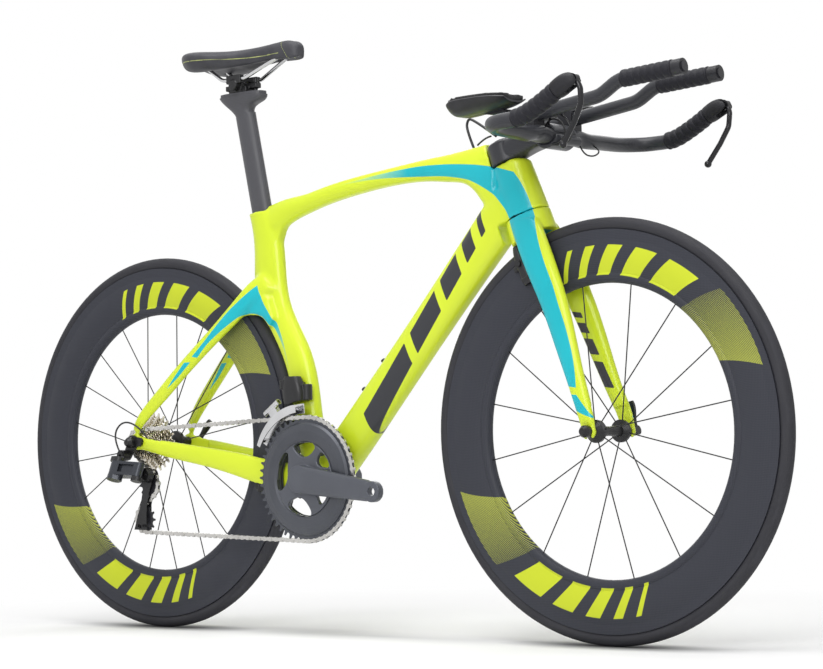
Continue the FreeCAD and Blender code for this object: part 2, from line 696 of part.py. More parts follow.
def toothed(teeth, thickness, bore, first_pin, tall=3.6):
    """A toothed disc about the origin in the XZ plane; first_pin is the angle of one roller gap."""
    ring = pitch_radius(teeth)
    seat_radius = mm("roller_radius") + 0.25
    tip = ring + tall
    step = 2 * math.pi / teeth
    edges = []
    before = None
    first = None

    def at(radius, angle):
        return Vector(math.cos(angle) * radius, 0, math.sin(angle) * radius)

    for k in range(teeth):
        mid = first_pin + step * k
        out = Vector(math.cos(mid), 0, math.sin(mid))
        side = Vector(-math.sin(mid), 0, math.cos(mid))
        centre = out * ring
        spread = math.radians(62)
        start = centre - out * seat_radius * math.cos(spread) - side * seat_radius * math.sin(spread)
        end = centre - out * seat_radius * math.cos(spread) + side * seat_radius * math.sin(spread)
        land = 0.11 * step
        rise = at(tip, mid - step / 2 + land)
        fall = at(tip, mid + step / 2 - land)
        if before is not None:
            edges.append(Part.LineSegment(before, rise).toShape())
        else:
            first = rise
        edges.append(Part.LineSegment(rise, start).toShape())
        edges.append(Part.Arc(start, centre - out * seat_radius, end).toShape())
        edges.append(Part.LineSegment(end, fall).toShape())
        before = fall
    edges.append(Part.LineSegment(before, first).toShape())
    disc = Part.Face(Part.Wire(edges)).extrude(SIDE * thickness)
    disc.translate(SIDE * (-thickness / 2))
    return disc.cut(Part.makeCylinder(bore, thickness * 3, SIDE * (-1.5 * thickness), SIDE))


big_teeth = int(mm("big_ring_teeth"))
small_teeth = int(mm("small_ring_teeth"))
pulley_teeth = int(mm("pulley_teeth"))
COGS = (11, 12, 13, 14, 15, 16, 17, 19, 21, 23, 25)
ring_y = -mm("big_ring_at")
cog_y = -mm("first_cog_at")
guide = rear_axle + Vector(27, cog_y, -76)


def tension_at(degrees):
    turn = math.radians(degrees)
    return guide + Vector(math.cos(turn), 0, math.sin(turn)) * mm("pulley_distance")


def chain_route(degrees):
    """Runs and wraps of the chain, as (kind, data, links) in order from the ring's top."""
    wheels = [(bb, big_teeth, 1, ring_y), (rear_axle, COGS[0], 1, cog_y),
              (guide, pulley_teeth, -1, cog_y), (tension_at(degrees), pulley_teeth, 1, cog_y)]
    runs = []
    for i in range(4):
        c1, n1, s1, y1 = wheels[i]
        c2, n2, s2, y2 = wheels[(i + 1) % 4]
        gap_x, gap_z = c2.x - c1.x, c2.z - c1.z
        offset = s2 * pitch_radius(n2) - s1 * pitch_radius(n1)
        length = math.sqrt(gap_x ** 2 + gap_z ** 2 - offset ** 2)
        heading = math.atan2(gap_z, gap_x) - math.atan2(offset, length)
        normal = (-math.sin(heading), math.cos(heading))
        start = Vector(c1.x - s1 * pitch_radius(n1) * normal[0], y1, c1.z - s1 * pitch_radius(n1) * normal[1])
        end = Vector(c2.x - s2 * pitch_radius(n2) * normal[0], y2, c2.z - s2 * pitch_radius(n2) * normal[1])
        runs.append((heading, start, end))
    route = []
    for i in range(4):
        heading, start, end = runs[i]
        route.append(("run", (start, end), (end - start).Length / pitch))
        centre, teeth, sense, y = wheels[(i + 1) % 4]
        after = runs[(i + 1) % 4][0]
        wrap = (sense * (after - heading)) % (2 * math.pi)
        begin = math.atan2(end.z - centre.z, end.x - centre.x)
        route.append(("wrap", (centre, teeth, sense, y, begin), wrap * teeth / (2 * math.pi)))
    return route


def link_total(degrees):
    return sum(part[2] for part in chain_route(degrees))


low, high = -128.0, -62.0
wanted = 2 * round(link_total(-97.0) / 2)
rising = link_total(high) > link_total(low)
for _ in range(60):
    middle = (low + high) / 2
    if (link_total(middle) > wanted) == rising:
        high = middle
    else:
        low = middle
cage_angle = (low + high) / 2
tension = tension_at(cage_angle)


def leaning(start, end, along):
    """A place on a straight run of the chain, which stays level with each wheel near its teeth."""
    length = (end - start).Length
    first = 47.0 if start.y == ring_y else 21.0
    last = 47.0 if end.y == ring_y else 21.0
    spot = lerp(start, end, along / length)
    if start.y != end.y:
        share = min(max((along - first) / (length - first - last), 0.0), 1.0)
        spot.y = start.y + (end.y - start.y) * share
    return spot


def pin_points():
    """Every chain pin, and for each toothed wheel the angle of one pin on it."""
    route = chain_route(cage_angle)
    pins = []
    phases = []
    travelled = 0.0
    for kind, data, links in route:
        first = math.ceil(travelled - 1e-9)
        index = first
        while index < travelled + links - 1e-9 and index < wanted:
            along = index - travelled
            if kind == "run":
                pins.append(leaning(data[0], data[1], along * pitch))
            else:
                centre, teeth, sense, y, begin = data
                turn = begin + sense * along * 2 * math.pi / teeth
                radius = pitch_radius(teeth)
                pins.append(Vector(centre.x + math.cos(turn) * radius, y, centre.z + math.sin(turn) * radius))
            index += 1
        if kind == "wrap":
            centre, teeth, sense, y, begin = data
            phases.append(begin + sense * (first - travelled) * 2 * math.pi / teeth)
        travelled += links
    return pins, phases


pins, phases = pin_points()
cog_phase, guide_phase, tension_phase, ring_phase = phases


def chain_link(first, second, outer):
    """One link between two pins: two waisted plates joined by their pins or rollers."""
    run = second - first
    run.normalize()
    across = SIDE - run * SIDE.dot(run)
    across.normalize()
    tall = run.cross(across)
    inside, thick, waist = (1.95, 0.75, 2.5) if outer else (1.1, 0.7, 3.0)
    solids = []
    for sign in (-1, 1):
        way = across * sign
        base = way * inside
        edges = []
        round_end = 4.0
        a = first + base
        b = second + base
        shoulder = 2.6
        drop = math.sqrt(round_end ** 2 - shoulder ** 2)
        middle = (a + b) * 0.5
        corners = [a + run * shoulder + tall * drop, b - run * shoulder + tall * drop,
                   b - run * shoulder - tall * drop, a + run * shoulder - tall * drop]
        edges.append(Part.Arc(corners[0], middle + tall * waist, corners[1]).toShape())
        edges.append(Part.Arc(corners[1], b + run * round_end, corners[2]).toShape())
        edges.append(Part.Arc(corners[2], middle - tall * waist, corners[3]).toShape())
        edges.append(Part.Arc(corners[3], a - run * round_end, corners[0]).toShape())
        solids.append(Part.Face(Part.Wire(edges)).extrude(way * thick))
    reach = inside + thick
    if outer:
        joins = [bar(p - across * (reach + 0.1), p + across * (reach + 0.1), 1.7) for p in (first, second)]
        return solids[0].fuse([solids[1]] + joins)
    joins = [bar(p - across * (inside + 0.1), p + across * (inside + 0.1), mm("roller_radius"))
             for p in (first, second)]
    holes = [bar(p - across * 4, p + across * 4, 1.85) for p in (first, second)]
    return solids[0].fuse([solids[1]] + joins).cut(holes)


links = [chain_link(pins[i], pins[(i + 1) % len(pins)], i % 2 == 0) for i in range(len(pins))]
keep("chain", gathered(links))


def moved(shape, point):
    copy = shape.copy()
    copy.translate(point)
    return copy


cogs = []
for k, teeth in enumerate(COGS):
    y = cog_y + mm("cog_spacing") * k
    disc = toothed(teeth, mm("cog_thickness"), mm("freehub_radius"), cog_phase)
    root = pitch_radius(teeth) - mm("roller_radius") - 0.3
    if teeth >= 17:
        mid_radius = (mm("freehub_radius") + 4 + root - 2) / 2
        hole = (root - 2 - mm("freehub_radius") - 4) / 2
        turns = [2 * math.pi * n / 8 for n in range(8)]
        spots = [Vector(math.cos(a) * mid_radius, -4, math.sin(a) * mid_radius) for a in turns]
        disc = disc.cut([Part.makeCylinder(hole, 9, spot, SIDE) for spot in spots])
    spacing = mm("cog_spacing") if k < len(COGS) - 1 else mm("cog_thickness") / 2 + 0.6
    hub = Part.makeCylinder(min(root, 20.5), spacing, Vector(0, 0, 0), SIDE).cut(
        Part.makeCylinder(mm("freehub_radius"), spacing, Vector(0, 0, 0), SIDE))
    hub.translate(SIDE * (-mm("cog_thickness") / 2 if k < len(COGS) - 1 else -mm("cog_thickness") / 2))
    cogs.append(moved(disc.fuse(hub), Vector(rear_axle.x, y, rear_axle.z)))
lock_at = Vector(rear_axle.x, cog_y - mm("cog_thickness") / 2, rear_axle.z)
lockring = Part.makeCylinder(mm("freehub_radius") + 1.2, 2, lock_at, SIDE * -1).cut(
    Part.makeCylinder(11.5, 2, lock_at, SIDE * -1))
keep("cassette", gathered(cogs + [lockring]))
length = "Dims.rear_hub_width / 2 - 6 - Dims.right_flange_at - 5.2"
keep("freehub", turned("freehub", [
    ("0", "Dims.axle_radius + Dims.running_gap"), ("0", "11.4"), ("3", "Dims.freehub_radius"),
    (length, "Dims.freehub_radius"), (length, "Dims.axle_radius + Dims.running_gap"),
], rear_axle - SIDE * (mm("rear_hub_width") / 2 - 6), SIDE))

# Crankset: the drive-side arm carries its spider and spindle; the other arm clamps on.

crank_turn = math.radians(mm("crank_angle"))
crank_way = Vector(math.cos(crank_turn), 0, math.sin(crank_turn))
crank_up = Vector(-math.sin(crank_turn), 0, math.cos(crank_turn))
SPIDER = (57.0, 121.0, 214.0, 297.0)
bolt_circle = 55.0


def round_bb(degrees, radius, y):
    """A place round the bottom bracket's axis."""
    turn = math.radians(degrees)
    return bb + Vector(math.cos(turn) * radius, y, math.sin(turn) * radius)


def crank_arm(way, up_way, hub_face):
    """A hollow-forged arm on the right; hub_face is the Y of its inner hub face."""
    reach = mm("crank_length")
    stations = ((-0.06, -62, 8, 23), (0.12, -63, 9, 23.5), (0.38, -66, 8.5, 22),
                (0.7, -69, 7.3, 19.5), (0.94, -70.5, 6.6, 17.8))
    arm = loft([oval(bb + way * (reach * f) + SIDE * y, SIDE, up_way, thick, tall, 3.2)
                for f, y, thick, tall in stations])
    eye = bb + way * reach
    arm = arm.fuse([Part.makeCylinder(17.6, 13, eye + SIDE * -64, SIDE * -1),
                    Part.makeCylinder(24, 70 + hub_face - 0.0, bb + SIDE * hub_face, SIDE * -1)])
    return arm.cut(Part.makeCylinder(mm("pedal_thread_radius"), 40, eye + SIDE * -55, SIDE * -1))


spindle_length = 62.0
right_arm = crank_arm(crank_way, crank_up, -45.6)
HOLES = (((112, 60), (88, 62), (65, 60), (70, 45), (88, 38), (105, 43)),
         ((131, 60), (165, 62), (199, 60), (188, 42), (165, 39), (146, 45)),
         ((229, 58), (256, 62), (284, 60), (279, 44), (256, 33), (234, 40)),
         ((47, 60), (34, 62), (20, 60), (24, 48), (36, 40), (47, 44)),
         ((311, 56), (324, 58), (338, 56), (334, 44), (324, 35), (314, 40)))
web = Part.makeCylinder(63.7, 8.8, bb + SIDE * -45.6, SIDE * -1)
for outline in HOLES:
    ring = [round_bb(angle, radius, -40) for angle, radius in outline]
    curve = Part.BSplineCurve()
    curve.interpolate(Points=ring, PeriodicFlag=True)
    web = web.cut(Part.Face(Part.Wire([curve.toShape()])).extrude(SIDE * -20))
spindle = bar(bb + SIDE * -50, bb + SIDE * spindle_length, mm("spindle_radius"))
right_arm = right_arm.fuse(web).cut(spindle)
bolt_holes = [bar(round_bb(a, bolt_circle, -30), round_bb(a, bolt_circle, -52), 4.2) for a in SPIDER]
spindle_bore = bar(bb + SIDE * -48, bb + SIDE * 70, mm("spindle_radius") - 3)
right_arm = right_arm.cut(bolt_holes + [spindle_bore])
keep("crank_arm_right", gathered([right_arm, spindle.cut(spindle_bore)]))

left_way = crank_way * -1
left_arm = mirrored(crank_arm(left_way, crank_up, -45.6))
left_arm = left_arm.cut(bar(bb + SIDE * 30, bb + SIDE * 90, mm("spindle_radius")))
crank_cap = Part.makeCylinder(15, 3, bb + SIDE * 70, SIDE).cut(Part.makeCylinder(5, 3, bb + SIDE * 71, SIDE))
crank_cap = crank_cap.fuse(Part.makeCylinder(mm("spindle_radius") - 0.2, 8, bb + SIDE * 62.2, SIDE))
keep("crank_arm_left", gathered([left_arm, crank_cap]))


def ring_tabs(inner_y, outer_y):
    return [strap(round_bb(a, bolt_circle, inner_y), round_bb(a, 68, inner_y), 8, 10, outer_y - inner_y)
            for a in SPIDER]


big_tip = pitch_radius(big_teeth)
big_ring = moved(toothed(big_teeth, 2.0, 64, ring_phase), bb + SIDE * ring_y)
cover_points = [(64, -47.4), (64, -52.5), (68, -54.5), (82, -55), (big_tip - 12, -53), (big_tip - 8.5, -49.5),
                (big_tip - 8, -47.4)]
cover_wire = Part.makePolygon([bb + Vector(r, y, 0) for r, y in cover_points + [cover_points[0]]])
cover = Part.Face(cover_wire).revolve(bb, SIDE, 360)
step_ring = Part.makeCylinder(70, 4.1, bb + SIDE * -47.5, SIDE).cut(
    Part.makeCylinder(62.5, 4.1, bb + SIDE * -47.5, SIDE))
web_room = Part.makeCylinder(64, 20, bb + SIDE * -45.5, SIDE * -1)
big_ring = big_ring.fuse([cover, step_ring] + ring_tabs(-45.5, -43.4)).cut(bolt_holes + [web_room])
keep("chainring_large", big_ring)

small_ring = moved(toothed(small_teeth, 2.0, 62, 0.1), bb + SIDE * -mm("small_ring_at"))
small_ring = small_ring.fuse(ring_tabs(-43.4, -38.6)).cut(bolt_holes)
keep("chainring_small", small_ring)
ring_bolts = []
for angle in SPIDER:
    spot = bb + Vector(math.cos(math.radians(angle)), 0, math.sin(math.radians(angle))) * bolt_circle
    bolt = bar(spot + SIDE * -51.8, spot + SIDE * -38.2, 4.2)
    tail_cap = bar(spot + SIDE * -38.6, spot + SIDE * -37.0, 6.2)
    ring_bolts.append(bolt.fuse(tail_cap).cut(bar(spot + SIDE * -41, spot + SIDE * -36, 2.6)))
keep("chainring_bolts", gathered(ring_bolts))


# Rear derailleur: bracket, link and knuckle stacked along a leaning hinge, then the pulley cage.

lean = math.radians(22)
link_axis = Vector(0, math.sin(lean), math.cos(lean))
link_rest = math.radians(8)
link_reach = 50.0
flat_fore = Vector(1, 0, 0)
flat_side = link_axis.cross(flat_fore)
link_out = flat_fore * math.cos(link_rest) + flat_side * math.sin(link_rest)
cage_pivot = guide + Vector(5, 0, 17)
knuckle_hinge = Vector(cage_pivot.x + 2, cog_y - 34, cage_pivot.z + 9)
bracket_hinge = knuckle_hinge - link_out * link_reach
hanger_outer = hanger_eye - SIDE * 4

ear = bracket_hinge + link_axis * 13.6
bracket_ear = strap(ear, ear + link_out * -7, 11, 9.5, 8, link_axis)
bracket_mid = lerp(hanger_outer + SIDE * -7.6, ear + link_axis * 4, 0.5)
bracket_arm = loft([oval(hanger_outer + SIDE * -7.6 + UP * 2, flat_fore, SIDE, 9.5, 7.4, 2.6),
                    oval(bracket_mid, flat_fore, SIDE, 10, 7.6, 2.6),
                    oval(ear + link_axis * 1.5, flat_fore, SIDE, 9.5, 8, 2.6)])
bracket_boss = bar(hanger_outer + SIDE * -0.2, hanger_outer + SIDE * -15.5, 10).fuse(
    bar(hanger_outer + SIDE * -15, hanger_outer + SIDE * -17, 7.5))
bracket_bolt = bar(hanger_outer + SIDE * 4, hanger_outer + SIDE * -14, 4.9)
low_edge = Part.makeBox(120, 120, 60, Vector(-60, -60, -60))
low_edge.Placement = Placement(ear, Rotation(UP, link_axis))
bracket = bracket_ear.fuse([bracket_arm.cut(low_edge), bracket_boss.cut(low_edge), bracket_bolt])
bracket = bracket.fuse(bar(bracket_hinge - link_axis * 12, ear + link_axis * 2, 3))
bracket = bracket.cut(bar(hanger_outer + SIDE * -12, hanger_outer + SIDE * -20, 2.6))
keep("rear_derailleur_bracket", bracket)

link_low = link_axis * -12.8
link_body = strap(bracket_hinge + link_low, knuckle_hinge + link_low, 12, 9, 25.6, link_axis)
motor_foot = bracket_hinge + link_axis * -21
motor = strap(motor_foot, motor_foot + link_out * 9, 12.5, 8, 9, link_axis)
slot_low = link_axis * -7.5
link_slot = strap(bracket_hinge + link_out * 21 + slot_low, knuckle_hinge - link_out * 17 + slot_low,
                  14.5, 14.5, 15, link_axis)
link_core = strap(bracket_hinge - link_axis * 10, knuckle_hinge - link_axis * 10, 6, 5, 20, link_axis)
link_body = link_body.cut(link_slot).fuse([link_core, motor])
link_body = link_body.cut([bar(bracket_hinge - link_axis * 13, bracket_hinge + link_axis * 30, 3.05),
                           bar(knuckle_hinge - link_axis * 30, knuckle_hinge + link_axis * 13, 3.05)])
keep("rear_derailleur_link", link_body)

drum = bar(cage_pivot + SIDE * -7.3, cage_pivot + SIDE * -21, 13.5)
ear_foot = knuckle_hinge - link_axis * 21.2
knuckle_ear = strap(ear_foot, ear_foot + link_out * 3, 9, 9, 7.6, link_axis)
knuckle_arm = loft([oval(cage_pivot + SIDE * -14 + UP * -3, flat_fore, UP, 12, 9, 2.6),
                    oval(knuckle_hinge - link_axis * 17.6 + SIDE * 2, flat_fore, UP, 9, 4.6, 2.6)])
high_edge = Part.makeBox(120, 120, 60, Vector(-60, -60, 0))
high_edge.Placement = Placement(knuckle_hinge - link_axis * 13.6, Rotation(UP, link_axis))
outer_half = Part.makeBox(120, 60, 120, Vector(cage_pivot.x - 60, cage_pivot.y - 82, cage_pivot.z - 60))
knuckle_arm = knuckle_arm.cut(high_edge.common(outer_half))
knuckle = drum.fuse([knuckle_arm, knuckle_ear])
knuckle = knuckle.fuse([bar(knuckle_hinge - link_axis * 15, knuckle_hinge + link_axis * 12, 3),
                        bar(cage_pivot + SIDE * -9, cage_pivot + SIDE * -5, 4)])
keep("rear_derailleur_knuckle", knuckle)

cage_way = tension - guide
cage_way.normalize()
cage_side = Vector(-cage_way.z, 0, cage_way.x)
if cage_side.x < 0:
    cage_side = cage_side * -1


def cage_plate(y, thickness):
    """One side of the pulley cage, wider round the lower pulley."""
    hinge = Vector(cage_pivot.x, y, cage_pivot.z)
    upper = Vector(guide.x, y, guide.z)
    lower = Vector(tension.x, y, tension.z)
    neck = strap(upper, lower - cage_way * 14 + cage_side * -4, 9, 6, thickness)
    crest = strap(hinge, upper, 11, 10, thickness)
    skirt = flat([upper + cage_way * 30 + cage_side * 3, lower + cage_way * 17 + cage_side * 12,
                  lower + cage_way * 22 + cage_side * -19, upper + cage_way * 30 + cage_side * -9], thickness)
    ends = ((13, -9, 14, -4), (11, 3, 10, 8))
    slots = []
    for a, b, c, d in ends:
        slots.append(strap(lower + cage_way * a + cage_side * b, lower + cage_way * c + cage_side * d,
                           2.6, 2.6, thickness))
    return neck.fuse([crest, skirt]).cut(slots)


outer_y = cog_y - 6.6
inner_y = cog_y + 4.8
cage = cage_plate(outer_y, 1.8)
cage = cage.cut(bar(cage_pivot + SIDE * -20, cage_pivot + SIDE * -4, 4.06))
inner_plate = cage_plate(inner_y, 1.8)
hubs = [bar(Vector(p.x, inner_y + 1, p.z), Vector(p.x, outer_y + 1, p.z), 3) for p in (guide, tension)]
keep("rear_derailleur_cage", cage.fuse([inner_plate] + hubs))
for label, point, phase in (("guide_pulley", guide, guide_phase), ("tension_pulley", tension, tension_phase)):
    disc = toothed(pulley_teeth, 2.0, 3.05, phase, 2.2)
    boss = Part.makeCylinder(7, 6, SIDE * -3, SIDE).cut(Part.makeCylinder(3.05, 8, SIDE * -4, SIDE))
    keep(label, moved(disc.fuse(boss), point))

# Front derailleur: a motor block on the seat tube and a cage over the large ring.

cage_lean = math.radians(125)
cage_out = Vector(math.cos(cage_lean), 0, math.sin(cage_lean))
cage_along = Vector(math.sin(cage_lean), 0, -math.cos(cage_lean))
ring_tip = big_tip + 3.6
cage_low = ring_tip + 2.4
fd_hinge = bb + cage_out * 150 + SIDE * -37
fd_core = bb + Vector(-38, -31, 148)
fd_block = loft([oval(fd_core + Vector(-2, 0, -20), Vector(1, 0, 0), SIDE, 20, 10, 3),
                 oval(fd_core + Vector(-2, 0, 4), Vector(1, 0, 0), SIDE, 22, 12, 3),
                 oval(fd_core + Vector(-5, 0, 28), Vector(1, 0, 0), SIDE, 15, 10, 3)])
fd_motor = bar(fd_core + Vector(21, 8, -22), fd_core + Vector(21, 8, 14), 9)
fd_mount = Part.makeBox(26, 16, 22, fd_core + Vector(-16, 6, -4))
fd_nose = bar(fd_core + Vector(-22, -3, 6), fd_core + Vector(-22, -3, 22), 8)
fd_whole = fd_block.fuse([fd_motor, fd_mount, fd_nose])
fd_whole = fd_whole.cut(bar(fd_hinge - cage_along * 26, fd_hinge + cage_along * 26, 6.4))
arm_foot = fd_hinge - cage_along * 11
fd_whole = fd_whole.cut(strap(arm_foot, arm_foot - cage_out * 30, 6.4, 6.4, 22, cage_along))
fd_whole = fd_whole.cut(bar(bb - SIDE * 60, bb, cage_low + 24))
fd_rod = bar(fd_hinge - cage_along * 24, fd_hinge + cage_along * 24, 2.5)
fd_ends = [Part.makeBox(4, 12, 12, Vector(-2, -4, -6)) for _ in (0, 1)]
for block, sign in zip(fd_ends, (-1, 1)):
    block.Placement = Placement(fd_hinge + cage_along * (22.5 * sign), Rotation(Vector(1, 0, 0), cage_along))
fd_whole = fd_whole.fuse([fd_rod] + fd_ends)
frame_room = frame_shape.common(Part.makeBox(140, 40, 120, fd_core + Vector(-70, 0, -60)))
keep("front_derailleur_body", max(fd_whole.cut(frame_room).Solids, key=lambda s: s.Volume))


def cage_arc(y, thickness, inner, outer, first, last, drop=0.0):
    """A curved plate round the bottom bracket between two angles."""
    mid = (first + last) / 2
    low = [round_bb(angle, inner, y) for angle in (first, mid, last)]
    tops = ((last, outer - drop), (mid, outer), (first, outer))
    high = [round_bb(angle, radius, y) for angle, radius in tops]
    outline = Part.Wire([
        Part.Arc(*low).toShape(), Part.LineSegment(low[2], high[0]).toShape(),
        Part.Arc(*high).toShape(), Part.LineSegment(high[2], low[0]).toShape(),
    ])
    return Part.Face(outline).extrude(SIDE * thickness)


outer_plate = cage_arc(ring_y - 9.2, 1.6, cage_low + 3, cage_low + 16.5, 98, 151, 6)
inner_plate = cage_arc(ring_y + 4.6, 1.6, cage_low + 1, cage_low + 17.5, 94, 149, 7)
bridge = cage_arc(ring_y - 8.4, 13.8, cage_low + 12.8, cage_low + 15.5, 107, 118)
tail = cage_arc(ring_y - 8.4, 13.8, cage_low + 4, cage_low + 9.5, 144, 146.5)
fd_sleeve = bar(fd_hinge - cage_along * 19, fd_hinge + cage_along * 19, 5.6).cut(
    bar(fd_hinge - cage_along * 25, fd_hinge + cage_along * 25, 2.55))
arm_foot = fd_hinge - cage_along * 9
fd_arm = strap(arm_foot, arm_foot + cage_out * (cage_low + 14 - 150), 5, 5, 18, cage_along)
fd_arm = fd_arm.cut(bar(fd_hinge - cage_along * 25, fd_hinge + cage_along * 25, 2.55))
fd_foot = cage_arc(ring_y + 5.4, fd_hinge.y - ring_y - 4, cage_low + 11, cage_low + 15.3, 119.5, 130.5)
keep("front_derailleur_cage", outer_plate.fuse([inner_plate, bridge, tail, fd_sleeve, fd_arm, fd_foot]))

# Fork: crown, steerer and two deep legs with slotted tips.

leg_top = head(340, 24)


def fork_leg():
    """The left leg, from inside the crown to its slotted tip."""
    thick = mm("fork_leg_width") / 2
    deep = mm("fork_leg_chord") / 2
    tip_y = mm("front_hub_width") / 2 + mm("dropout_thickness") / 2
    stations = (
        (-0.07, 20, -10, deep - 3, thick - 1), (0.02, 26.5, -6, deep, thick),
        (0.2, 33.5, 0, deep, thick + 0.4), (0.4, 38.5, 5, deep * 0.84, thick),
        (0.6, 43.5, 4.5, deep * 0.68, thick * 0.9), (0.8, 48.5, 4, deep * 0.54, thick * 0.8),
        (0.94, tip_y - 0.5, 3.5, deep * 0.47, thick * 0.6), (0.985, tip_y, 1.5, deep * 0.43, thick * 0.34),
    )
    wires = []
    for share, side, fore, chord, width in stations:
        spot = lerp(leg_top, front_axle, share) + Vector(fore, side, 0)
        wires.append(oval(spot, Vector(1, 0, 0), SIDE, chord, width, 2.2))
    leg = loft(wires)
    tip = bar(front_axle + SIDE * (tip_y - mm("dropout_thickness") / 2),
              front_axle + SIDE * (tip_y + mm("dropout_thickness") / 2), 13)
    leg = leg.cut(bar(front_axle + SIDE * 30, front_axle + SIDE * (mm("front_hub_width") / 2), 40))
    slot = strap(front_axle + SIDE * 40, front_axle + Vector(3, 40, -30), 5, 5, 40)
    seat_face = front_axle + SIDE * (tip_y + mm("dropout_thickness") / 2)
    return leg.fuse(tip).cut([slot, bar(seat_face, seat_face + SIDE * 20, 13.5)])


left_leg = fork_leg()
crown = loft([oval(head(head_low - 1, 7), head_fore, SIDE, 40, mm("head_tube_width") / 2 + 2, 2.3),
              oval(head(356, 8), head_fore, SIDE, 40.5, mm("head_tube_width") / 2 + 4, 2.3),
              oval(head(330, 9), head_fore, SIDE, 40, mm("head_tube_width") / 2 + 6, 2.3)])
crown = crown.cut(bar(front_axle - SIDE * 90, front_axle + SIDE * 90, wheel_gap - 1))
steerer = bar(head(352), head(head_high + 36), mm("steerer_radius"))
fork_shape = crown.fuse([left_leg, mirrored(left_leg), steerer])
fork_shape = fork_shape.cut([
    bar(front_axle - SIDE * 17, front_axle + SIDE * 17, wheel_gap - 1),
    bar(head(362), head(head_high + 40), mm("steerer_radius") - 2.4),
])
fork_shape = max(fork_shape.Solids, key=lambda s: s.Volume)

# Cockpit: stem, base bar, extensions, arm rests, tape, lever hoods, levers and shift buttons.

bar_z = mm("bar_height")
bar_x = head(head_high + 36).x + 104
bar_half = mm("bar_half_width")
grip = mm("bar_radius")
BAR = (
    (0.0, 0, 0, 20, 13), (0.16, 0, 0, 20, 13), (0.34, 1.2, 0, 18.5, 12.6), (0.53, 3, -0.3, 17, 12.2),
    (0.7, 6, -0.4, 15, 12), (0.835, 12, 0, 13, 12), (0.927, 22, 0.8, 12.2, 12), (0.98, 37, 1.2, 12, 12),
    (1.0, 54, 1.8, 12, 12), (1.0, 74, 2.6, 12, 12), (1.0, 94, 7, 12, 12), (1.0, 116, 16.5, 12, 12),
    (1.0, 138, 28, 12, 12), (1.0, 153, 37, 12, 12), (1.0, 168, 45, 12, 12),
)


def bar_spots():
    """Centre and heading of the left half of the base bar."""
    spots = []
    for share, fore, rise, chord, thick in BAR:
        spots.append((Vector(bar_x + fore, bar_half * share, bar_z + rise), chord, thick))
    return spots


def base_bar_half(extra=0.0, first=0, last=None):
    """A stretch of the left half of the base bar, optionally thicker."""
    spots = bar_spots()
    last = len(spots) if last is None else last
    wires = []
    for i in range(first, last):
        centre, chord, thick = spots[i]
        before = spots[max(i - 1, 0)][0]
        after = spots[min(i + 1, len(spots) - 1)][0]
        way = after - before
        if i < 2:
            way = Vector(0, 1, 0)
        way.normalize()
        fore = way.cross(UP)
        fore.normalize()
        rise = fore.cross(way)
        wires.append(oval(centre, fore, rise, chord * grip / 12 + extra, thick * grip / 12 + extra, 2.0))
    return loft(wires)


middle_half = bar_half * BAR[1][0]


def bar_middle(extra=0.0):
    """The even middle of the base bar, as wide as its clamp needs."""
    outline = oval(Vector(bar_x, -middle_half, bar_z), Vector(1, 0, 0), UP, BAR[0][3] * grip / 12 + extra,
                   BAR[0][4] * grip / 12 + extra)
    return Part.Face(outline).extrude(SIDE * (2 * middle_half))


left_bar = base_bar_half(0.0, 1)
base_bar = bar_middle().fuse([left_bar, mirrored(left_bar)])
keep("base_bar", base_bar)

stem_low = head_high + 1
stem_top = head_high + 37
stem_hub = turned_round_head([(0, stem_low), (28.8, stem_low), (28.8, stem_top - 3), (26, stem_top),
                              (0, stem_top)])
clamp = Vector(bar_x, 0, bar_z)
stem_arm = loft([oval(head(head_high + 18, 2), head_up, SIDE, 18.5, 25, 3),
                 oval(head(head_high + 19, 30), head_up, SIDE, 19, 25, 3),
                 oval(lerp(head(head_high + 19, 30), clamp, 0.5) + UP * 3, head_up, SIDE, 15.5, 24, 3),
                 oval(clamp + Vector(-6, 0, 0), head_up, SIDE, 17, 25, 3)])
stem_clamp = bar(clamp - SIDE * 29, clamp + SIDE * 29, 20.5)
stem_clamp = stem_clamp.fuse(bar(clamp + Vector(24, -27, -8), clamp + Vector(24, 27, -8), 8))
stem_shape = stem_hub.fuse([stem_arm, stem_clamp])
stem_shape = stem_shape.cut([
    turned_round_head([(0, stem_low), (30, stem_low), (90, stem_low - 46.8), (90, stem_low - 90),
                       (0, stem_low - 90)]),
    bar(head(head_high - 10), head(head_high + 60), mm("steerer_radius")),
    bar_middle(),
])
cap = bar(head(stem_top), head(stem_top + 4), 18).fuse(
    bar(head(stem_top - 14), head(stem_top), mm("steerer_radius") - 2.5))
cap = cap.cut(bar(head(stem_top + 1), head(stem_top + 5), 4))
keep("stem", gathered([max(stem_shape.Solids, key=lambda s: s.Volume), cap]))

ext_y = mm("extension_spacing") / 2
tip_x = mm("extension_tip_x")
extension_bend = Vector(tip_x - 110, ext_y, bar_z + 69)
extension_tip = Vector(tip_x, ext_y, bar_z + 75.5)
extension_path = rounded_path([Vector(tip_x - 348, ext_y, bar_z + 22), Vector(tip_x - 146, ext_y, bar_z + 48),
                               extension_bend, extension_tip], 55)
left_extension = swept(extension_path, mm("extension_radius"))
keep("extensions", gathered([left_extension, mirrored(left_extension)]))

tip_way = extension_tip - extension_bend
tip_way.normalize()


grip_end = extension_tip - tip_way * 9
grip_start = extension_tip - tip_way * 104
tape = mm("tape_thickness")
extension_tape = bar(grip_start, grip_end, mm("extension_radius") + tape).cut(left_extension)
bar_tape = base_bar_half(tape, 9, 14).cut(left_bar)
tapes = [extension_tape, mirrored(extension_tape), bar_tape, mirrored(bar_tape)]
keep("bar_tape", gathered(tapes))

